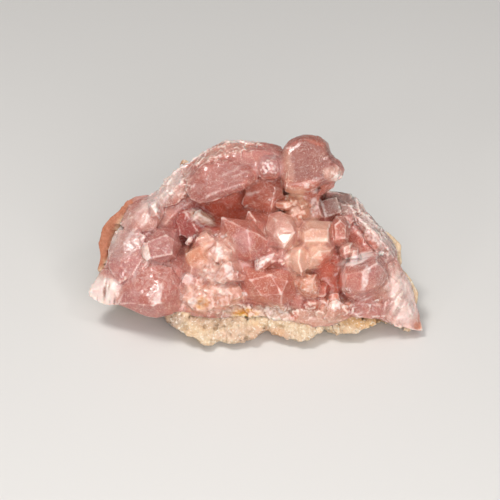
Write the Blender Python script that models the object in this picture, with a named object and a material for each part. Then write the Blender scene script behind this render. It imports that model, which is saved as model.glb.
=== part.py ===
"""Pink amethyst specimen: a broken piece of geode wall that lies on its rind, its crystal-lined hollow facing up
and forward.

Run it with: blender --background --python part.py

Units are metres, +Z is up and the specimen rests on the plane Z = 0. Its three pieces are the stony rind, the
amethyst wall that grew on it, with the big crystals of its rim and roof, and the crust of crystals in the hollow.

All shapes are drawn on the specimen's face, the way a collector looks at it: u runs right, v runs up the face, w
comes out of it, in millimetres. Faces tilt back, so that w points LEAN_DEG above the horizon.
"""

import math
import random

import bmesh
import bpy
from mathutils import Matrix, Vector, noise

MM = 0.001
LEAN_DEG = 35.0
FACE_PLACE = (-0.1, -6.3, 20.5)  # the face's own origin, over the middle of the specimen's box and the ground
GROUND_BLOCK = 200.0
JOINT_GAP = 0.4  # between the rind, the wall and the crust, less where the wall is steep
CRYSTAL_CLEARANCE = 0.45  # a crystal of the wall, swollen by this, leaves the same gap on its slanting sides
CRUST_COVER = 1.4  # least thickness of the crust between its crystals
CRUST_ROOT = 2.0  # how far the crust reaches into the wall, before the wall is cut from it
CRUST_RINGS = 8
CRUST_FULLNESS = 4
FACE_CENTRE = (0.0, -2.0)  # where the rings of the wall and of the rind close
WALL_RINGS = 12
RIND_RINGS = 10
WALL_DEPTH = 16.0
WALL_FULLNESS = 2.0  # exponent of a bulging back: 2 is an ellipse, more is boxier
RIND_DEPTH = 22.5
RIND_FULLNESS = 2.5
RIM_RISE = 3  # power with which a bulging back climbs to the height of its rim
WALL_ROUGHNESS = (3.0, 0.35)  # size and strength of the lumps
RIND_ROUGHNESS = (6.0, 1.2)
MARK_SOFTNESS = 0.5  # added to the squared distance from a mark, so that no mark makes a spike
MARK_POWER = -2
FINER = 2.0  # the second layer of noise is this much finer and weaker than the first
NOISE_APART = 17.0  # how far apart the noise of each axis is read
ROOT_SCALE = 0.8  # a crystal's buried end, as a share of its girdle
SMALLEST_EDGE = 0.03
FLAT_DEG = 0.1  # triangles that meet at less than this are one face
ROOT_STEP = 0.03  # how much deeper each crystal is rooted than the one before it
RHOMB_TILT_DEG = 51.8  # angle between quartz's long axis and the normal of a tip face

# Small quartz points, as shares of a patch's width where not said otherwise.
DRUSE_LENGTH = 3.4
DRUSE_SIZES = (0.7, 1.2)
DRUSE_RISE = 0.5
DRUSE_LEAN = 0.8  # how far the points of a patch fan out: 1 is 45 degrees at its edge
DRUSE_WANDER = 0.3
DRUSE_MINOR = (0.1, 0.5)  # how much lower the three small tip faces start than the large ones

COLOURS = {
    "matrix_rind": ((0.72, 0.53, 0.38, 1.0), 0.9),
    "amethyst_wall": ((0.68, 0.38, 0.33, 1.0), 0.35),
    "hollow_crystals": ((0.66, 0.32, 0.25, 1.0), 0.25),
}

# Broken edge of the amethyst wall, counter-clockwise from the left tip.
WALL_RIM = [
    (-34.8, -11.5, -4.5), (-33.4, -13.0, -4.0), (-30.9, -13.8, -3.0), (-28.0, -13.8, -2.0),
    (-25.5, -14.8, -1.5), (-21.8, -16.4, -1.0), (-19.0, -15.6, -1.5), (-16.0, -15.2, -2.0),
    (-12.0, -16.4, -2.0), (-8.0, -16.9, -2.0), (-4.0, -16.4, -2.0), (0.5, -16.2, -2.0),
    (4.0, -16.8, -2.0), (7.6, -17.6, -2.0), (11.7, -18.6, -2.0), (16.0, -18.0, -2.5),
    (20.0, -16.6, -2.8), (23.5, -16.6, -3.0), (26.4, -17.2, -3.4), (29.2, -18.2, -3.8),
    (31.9, -19.0, -4.2), (34.8, -19.4, -4.6), (34.3, -16.2, -5.2), (33.5, -13.4, -6.0),
    (32.8, -11.0, -6.5), (31.8, -8.0, -7.0), (30.4, -5.2, -7.0), (29.4, -2.5, -7.0),
    (28.0, 0.2, -7.0), (26.0, 2.2, -7.0), (24.0, 4.4, -7.0), (22.2, 7.0, -7.0),
    (20.3, 8.2, -7.0), (18.7, 9.2, -7.0), (15.5, 10.0, -7.0), (13.0, 14.0, -6.5),
    (9.0, 17.8, -6.0), (5.0, 18.8, -5.0), (0.2, 19.8, -4.0), (-4.0, 20.4, -4.0),
    (-7.5, 19.6, -4.0), (-10.0, 18.0, -4.0), (-13.0, 16.4, -4.0), (-15.5, 14.8, -4.5),
    (-18.2, 12.6, -5.0), (-20.4, 10.4, -5.5), (-22.4, 8.7, -6.0), (-25.0, 6.8, -6.0),
    (-27.5, 4.0, -6.0), (-29.5, 0.5, -6.0), (-30.5, -3.0, -5.5), (-31.5, -6.0, -5.0),
    (-33.2, -9.0, -5.0),
]

# Height of the wall's inner side over the face, before its crystals: rim masses high, hollow and cavity low.
WALL_RELIEF = [
    (-28.5, -9.5, -1.2), (-26.5, -3.0, -1.2), (-24.5, 3.0, -2.8), (-21.0, -9.0, -0.4), (-23.0, -6.0, -0.2),
    (-22.0, -13.0, -1.0), (-19.5, -1.0, -2.2), (-17.5, 7.0, -4.4), (-14.0, 1.0, -8.0), (-12.0, -10.0, -3.0),
    (-7.0, -2.0, -8.0), (-6.0, 8.0, -11.5), (3.0, 9.0, -12.0), (11.0, 8.0, -11.5), (1.0, 0.0, -8.5),
    (9.0, -1.0, -8.5), (17.0, -1.0, -9.5), (17.5, 5.5, -9.5), (-2.0, -12.0, -3.0), (5.0, -9.0, -5.0),
    (13.0, -8.0, -8.0), (14.0, -14.0, -3.5), (16.0, -10.0, -8.5), (22.0, -7.0, -6.5), (24.0, -13.0, -2.8),
    (29.0, -9.0, -3.8), (30.0, -15.0, -3.2), (24.0, -1.0, -7.0), (1.0, 16.0, -2.4), (-6.5, 16.6, -0.6),
    (-12.0, 13.8, -1.2), (9.0, 15.0, -4.0),
]

# Height of the rind's broken front: level with the crystals below them, and deep inside the wall elsewhere.
RIND_RELIEF = [
    (-14.0, -17.6, -1.6), (-6.0, -18.6, -1.2), (2.0, -18.0, -1.8), (9.0, -19.4, -1.2), (18.0, -18.6, -2.4),
    (-31.0, 1.0, -5.4), (-31.4, -6.0, -5.6), (-16.5, 14.0, -6.5), (0.0, 0.0, -13.0), (-2.0, 9.0, -14.0),
    (8.0, 9.0, -14.0), (-14.0, 2.0, -12.0), (14.0, 0.0, -12.0), (-8.0, -9.0, -9.0), (8.0, -9.0, -9.5),
    (22.0, -6.0, -11.0), (-24.0, -4.0, -9.0), (-23.0, 3.0, -10.0), (24.0, 0.0, -11.0), (-10.0, 12.0, -10.0),
    (4.0, 15.0, -10.0), (28.0, -12.0, -8.5), (18.0, 5.0, -12.0), (16.0, -12.0, -11.0), (2.0, -12.5, -8.0),
    (-8.0, 6.0, -14.0), (12.5, 7.5, -14.0), (4.0, 12.0, -13.0), (11.0, -12.5, -10.0), (20.0, 0.0, -12.0),
]

# Outer edge of the rind: it shows on the left, along the bottom and in two lumps on the right.
RIND_RIM = [
    (-33.0, -10.4, -6.0), (-31.0, -12.0, -5.5), (-28.0, -12.6, -4.5), (-24.0, -13.4, -3.5),
    (-20.6, -14.8, -2.5), (-19.0, -16.1, -1.5), (-17.7, -18.3, -1.0), (-15.9, -19.8, -1.0),
    (-14.0, -20.6, -1.0), (-12.1, -20.7, -1.0), (-9.9, -21.6, -1.0), (-8.4, -21.6, -1.2),
    (-7.2, -20.8, -1.8), (-5.1, -21.6, -1.0), (-2.1, -21.8, -0.8), (0.6, -21.4, -1.0),
    (2.9, -19.9, -2.0), (5.1, -20.9, -1.0), (9.9, -21.6, -1.0), (12.1, -21.0, -1.2),
    (15.2, -19.0, -2.5), (17.3, -20.2, -2.0), (21.0, -19.8, -2.5), (23.7, -18.4, -3.5),
    (26.4, -17.8, -4.2), (29.0, -18.5, -5.0), (31.5, -19.1, -5.6), (33.4, -18.4, -6.2),
    (33.4, -15.5, -6.8), (33.6, -11.8, -7.0), (32.4, -9.0, -7.4), (31.2, -6.0, -7.6),
    (30.6, -1.6, -7.4), (27.2, 0.6, -7.8), (24.0, 3.6, -8.0), (21.5, 6.6, -8.0),
    (19.0, 8.6, -8.4), (14.2, 9.2, -9.4), (10.6, 13.0, -8.0), (6.0, 17.2, -7.0), (1.0, 18.8, -6.4),
    (-4.0, 19.0, -6.4), (-8.0, 18.0, -6.4), (-12.0, 15.9, -6.6), (-15.3, 15.8, -5.8),
    (-18.2, 12.4, -7.0), (-21.2, 9.4, -7.6), (-24.5, 8.4, -6.6), (-26.6, 7.3, -5.4),
    (-28.6, 6.1, -5.0), (-30.7, 4.7, -5.0), (-31.9, 2.9, -5.0), (-32.5, -0.4, -5.0), (-32.3, -3.7, -5.0), (-32.8, -6.6, -5.5),
]

# Patches of small quartz points: u, v, w of the patch, its reach, the number of points and their width.
DRUSE = [
    (-13.8, -12.8, -0.8, 2.0, 4, 2.0), (-10.3, -11.1, 0.6, 2.0, 5, 2.0), (-6.8, -11.5, 0.4, 2.2, 5, 1.9),
    (-3.5, -11.1, -0.4, 1.4, 2, 1.7), (-8.6, -14.4, -1.2, 1.6, 3, 1.7), (-12.1, -9.3, 0.2, 1.2, 3, 1.7),
    (16.5, -14.0, 0.6, 1.8, 4, 1.8), (10.9, -9.7, 3.0, 2.2, 5, 2.0), (-6.8, -2.9, 2.8, 2.2, 5, 2.0),
    (-8.0, -7.2, 2.2, 3.2, 5, 2.1), (8.9, 7.2, -2.8, 2.2, 4, 1.8), (6.2, 6.6, -3.2, 1.2, 2, 1.5),
    (5.8, -4.1, 3.0, 1.8, 3, 1.9), (16.5, -4.9, -3.8, 1.4, 2, 1.8), (-14.6, -9.8, -0.6, 1.4, 3, 1.8),
    (-9.4, -4.4, 2.6, 1.6, 3, 1.8), (-4.6, -7.6, 3.0, 1.6, 3, 1.9), (-2.6, -11.6, 0.2, 1.6, 3, 1.7),
    (13.8, -11.0, -0.2, 1.4, 3, 1.8), (18.0, -14.8, -0.4, 1.6, 3, 1.7), (10.8, -14.6, 0.2, 1.6, 2, 1.6),
]

# Height of the crust between its crystals: high where they crowd together, low in the cavity under the roof.
CRUST_RELIEF = [
    (-12.0, 3.4, -6.0), (-6.0, 5.4, -8.6), (2.0, 8.6, -9.0), (8.6, 7.6, -6.6), (12.6, 5.8, -5.6),
    (-12.0, -3.0, -1.2), (-9.6, 0.0, -1.4), (-6.4, -2.6, -0.2), (-2.4, 0.4, -0.2), (2.2, 1.6, -1.4),
    (1.6, -3.4, 0.6), (5.6, 1.0, -0.2), (12.6, 0.8, -0.4), (9.4, -1.6, 1.4), (17.4, 1.4, -2.0), (19.8, -3.0, -0.8),
    (22.0, -7.6, -0.6), (15.8, -6.0, -4.4), (15.4, -10.0, -3.6), (12.6, -4.4, 1.2), (8.8, -5.4, 1.8),
    (5.4, -4.6, 1.2), (2.4, -9.6, 0.2), (10.8, -9.8, -0.2), (11.6, -13.8, -1.0), (16.2, -14.2, -1.0),
    (-8.0, -7.2, 0.4), (-13.4, -8.0, -1.6), (-12.8, -11.6, -1.2), (-9.0, -11.8, -0.4), (-5.0, -11.4, -0.6),
]

# Edge of the crust that lines the hollow, counter-clockwise from the lower left.
HOLLOW_RIM = [
    (-14.2, -13.6, -2.2), (-10.0, -15.4, -2.4), (-3.0, -13.8, -2.6), (5.4, -15.0, -2.6), (10.4, -15.4, -2.4),
    (17.6, -15.6, -3.0), (19.0, -11.6, -6.4), (21.0, -5.0, -7.4), (20.4, 0.4, -8.6), (16.0, 5.0, -9.0),
    (12.0, 8.8, -11.0), (5.0, 10.8, -11.0), (-2.0, 10.4, -11.0), (-8.0, 9.0, -10.4), (-13.0, 7.0, -7.6),
    (-14.6, 3.0, -7.0), (-13.6, -3.0, -6.4), (-14.6, -9.4, -3.4),
]

# Corners of the crystals, crown last, each list after the height of the crystal's buried root.
WALL_CRYSTALS = {
    "roof_slab": (-7.0, [
        (-14.4, 9.9, 0.8), (-13.4, 8, 1.6), (-11.3, 7, 2.2), (-8.6, 7.5, 2.4), (-2.5, 9.8, 2.2),
        (0.6, 11.9, 1.2), (0.4, 14.4, 0.6), (-4.5, 16.9, -0.4), (-8.6, 17.1, -0.8), (-12.1, 15.2, -0.8),
        (-13.2, 10.5, 2.2), (-11.3, 7.9, 2.9), (-10.5, 14.4, 2.4), (-9.3, 8.6, 3.9), (-1.9, 11.1, 3.3),
        (-1, 13.6, 2.6), (-5.6, 15.9, 2),
    ]),
    "ridge_left": (-9.0, [
        (-15.2, 11.7, -2.5), (-14.6, 14, -4.2), (-11.3, 17.5, -4.4), (-8.6, 19, -4.2), (-5.8, 20.5, -3.8),
        (-6.4, 17.7, 1), (-10.5, 15.4, 1.4), (-13.4, 11.9, 1.2), (-8.4, 16.1, 1.2),
    ]),
    "ridge_right": (-9.0, [
        (-8, 19.1, -4.2), (-5.8, 20.5, -3.6), (-1, 20.3, -3.8), (5.8, 19.3, -5.2), (6, 16.9, -2.2),
        (1.4, 18, 0), (-3.5, 18.3, 0.8), (-8.4, 16.9, 0.9), (-3.9, 15, 1.8), (0.6, 14, 1.6),
    ]),
    "knob": (-6.5, [
        (0.1, 15.2, 0.6), (1.4, 16.8, 0.2), (4.3, 17.1, 0), (5.8, 15.6, -0.2), (5.8, 13.2, 0),
        (4.5, 12.1, 0.4), (1.4, 12.1, 0.8), (0.2, 13.6, 1), (1.6, 15.2, 3.2), (4.1, 15.4, 2.8),
        (4.3, 13.4, 2.8), (2.3, 13.2, 3.4),
    ]),
    "summit": (-6.5, [
        (5.4, 17.9, -0.8), (6.6, 20.2, -1.6), (10.3, 21.8, -2.6), (13.6, 21.2, -2.8), (15.2, 19.8, -2.2),
        (15.8, 17.7, -1), (16.1, 13.6, 0.8), (13.8, 10.9, 1.6), (12.1, 9.5, 0.8), (9.3, 8.6, 0),
        (6.2, 9.3, -0.4), (5.1, 14, -0.4), (6.2, 18.3, 1.6), (9.5, 20.7, 1.2), (14.2, 19.3, 1.6),
        (15.7, 14.8, 2.6), (13.9, 11.6, 3.2), (9.3, 9.7, 3.2), (6.2, 10.6, 3.2),
    ]),
    "summit_flank": (-5.0, [
        (14.6, 18.1, -1.8), (16.3, 17.1, -1.6), (17.6, 16.1, -1.6), (18.5, 14, -1), (18.2, 12.4, -0.2),
        (16.9, 11.6, 0.4), (14.6, 11.3, 1), (13.2, 13.6, 0.5), (15.4, 16.2, 1.8), (17.3, 14.4, 1.6),
        (17.1, 12.7, 2.2), (14.2, 11.9, 2.9),
    ]),
    "summit_foot": (-6.0, [
        (12.4, 8.6, -2.5), (13.4, 10.4, -0.6), (14.8, 11.4, 0.2), (16.5, 11.4, -0.4), (16.3, 10.4, -1),
        (14, 8.9, -2.4), (14.6, 10.5, 0.9),
    ]),
    "left_block": (-8.0, [
        (-22.4, 0, -1.4), (-19.6, 2.3, -2.4), (-16.3, 1.9, -3.8), (-15.2, -1.6, -3.6), (-16.3, -4.1, -2.2),
        (-18.9, -5.1, -0.8), (-21.6, -4.9, -0.4), (-23.3, -2.9, -0.8), (-22, -0.8, 0.9), (-18.3, 0.6, 0.4),
        (-16.7, -0.4, 0), (-17.1, -3.3, 0.8), (-21.2, -4.1, 1.7),
    ]),
    "left_glint": (-6.0, [
        (-22.2, 7.2, -2.2), (-20.6, 8.2, -2.4), (-19.4, 6.4, -2.4), (-19.6, 4, -1.8), (-21.6, 4.2, -1.2),
        (-21.4, 6.6, 0.6), (-20.4, 7.2, 0.2), (-20.2, 4.9, 0.9),
    ]),
    "left_edge": (-4.0, [
        (-23.7, -2.5, -0.8), (-22.9, -0.9, 0.4), (-22.2, -1, 1.1), (-21.3, -4.1, 2.2), (-22.2, -4.8, 1.7),
        (-23.1, -3.9, 0.8),
    ]),
    "left_low": (-5.0, [
        (-28, -13.6, -1.2), (-27.6, -10.3, -1.2), (-25.1, -7.4, -0.8), (-21.2, -5.1, -0.4),
        (-17.1, -6, -1.2), (-15.2, -9.3, -1.8), (-15.4, -14, -1.8), (-17.1, -15.9, -1.8),
        (-20.4, -16.6, -1.6), (-22.6, -16.2, -1.4), (-25.3, -15, -1.2), (-22.4, -11.5, 2.57),
        (-21, -9.9, 2.22), (-19.1, -9.4, 2.37), (-19.4, -13.2, 3.72), (-21, -13.9, 3.7),
        (-17.1, -11.1, 1.4), (-21.6, -7.2, 0.9), (-25.1, -10.3, 1.2), (-25.7, -13.4, 0.8), (-20, -15.4, 0.8),
    ]),
    "left_high": (-8.0, [
        (-28.2, 2.9, -4.6), (-26.4, 6.8, -5.8), (-23.5, 8.4, -5.8), (-20, 8.9, -4.8), (-18.7, 5.4, -3.6),
        (-20.6, 1.6, -2), (-25.7, 1, -2.6), (-25.7, 4.3, -2.4), (-21.8, 7.4, -2.2), (-20, 4.7, -1.6),
        (-22.6, 3.3, -1),
    ]),
    "left_shoulder": (-9.0, [
        (-21.6, 8.4, -5.4), (-19.1, 11.9, -6.2), (-15.2, 15.4, -5.4), (-13.4, 13.8, -3.2),
        (-14, 9.3, -1.8), (-16.3, 7, -3.2), (-19.6, 6.2, -4), (-15.2, 11.7, -1), (-18.5, 8.4, -2.4),
    ]),
    "left_fracture": (-6.0, [
        (-30.3, -6.2, -2.6), (-30.5, -2.3, -3.8), (-29.2, 1.4, -4.4), (-25.9, 2.1, -3.2),
        (-22.6, 0.4, -1.6), (-22.9, -4.1, -0.2), (-25.1, -7.6, 0), (-28, -9.5, -0.8), (-27, -1.2, -1.6),
        (-27.8, -5.8, -0.6),
    ]),
    "left_tip": (-6.5, [
        (-34.7, -11.2, -4.6), (-33.6, -9.9, -4.8), (-32.7, -7.8, -4.8), (-31.7, -6.4, -4.4),
        (-29.4, -6.2, -3), (-27.6, -9.5, -1.4), (-27.8, -13.9, -1.6), (-30.3, -13.7, -3),
        (-32.3, -13.2, -4), (-31.1, -9.7, -2), (-29.2, -10.5, -0.9),
    ]),
    "right_block": (-11.0, [
        (14.6, 6.6, -6.6), (14.8, 9.1, -7.4), (15.6, 9.9, -8), (17.7, 9.7, -7.8), (20, 9.2, -7.8),
        (20.8, 7.8, -7.6), (22.2, 7.4, -7.6), (23.5, 5.4, -7), (21.6, 3.3, -4.6), (18.5, 4.5, -5.6),
        (16.7, 4.9, -6.6), (17.1, 7.6, -5.2), (20, 6.4, -4.6),
    ]),
    "right_band": (-10.0, [
        (20, 4.9, -5.2), (23.3, 5.6, -6.6), (27.4, 0.6, -6.8), (29, -0.8, -6.6), (29.9, -4.9, -5.6),
        (27.4, -4.9, -3.6), (25.1, -3.1, -3.8), (23.7, -0.2, -4.6), (20.8, 3.1, -4.8), (21.4, 4.3, -3.4),
        (25.1, 1.2, -2.8), (27.6, -2.3, -2.2),
    ]),
    "right_recess": (-9.0, [
        (18.7, 2.5, -6.4), (20, 3.3, -5.8), (24.1, 0, -5.4), (25.5, -2.9, -4.6), (25.1, -4.9, -4.6),
        (21.2, -4.9, -5.6), (19.1, -1.2, -6.2),
    ]),
    "right_white": (-8.5, [
        (26.6, -6.2, -4), (27.8, -4.1, -4.4), (29.9, -4.9, -5.4), (32.5, -8.9, -5.6), (34, -15.2, -5),
        (35, -19.4, -5.6), (32.5, -19, -3.6), (29.6, -18.6, -2.8), (27.2, -16.9, -2.2),
        (26.1, -12.8, -2.2), (29.6, -9.7, -1.8), (31.1, -13.8, -1.4), (28.8, -14.4, -1),
    ]),
    "right_low": (-7.0, [
        (18.1, -13.4, -2.6), (20, -11.9, -2.4), (24.1, -11.1, -2.4), (27.4, -10.3, -2.8),
        (28.2, -14.4, -1.8), (26.6, -16.9, -1.8), (22.9, -16.7, -1.8), (19.4, -15.9, -1.8),
        (21.2, -13.4, -0.8), (24.9, -13.4, -0.6), (24.1, -15.4, -0.8),
    ]),
    "lower_shelf": (-6.0, [
        (6.8, -15.4, -2.2), (8.9, -15, -1.2), (13, -15, -0.9), (16.3, -15.2, -1.2), (19.6, -15.4, -2),
        (19.6, -16.3, -2.4), (15.6, -18.1, -2.2), (11.7, -18.3, -2), (8.4, -17.3, -2.2),
    ]),
}

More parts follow.
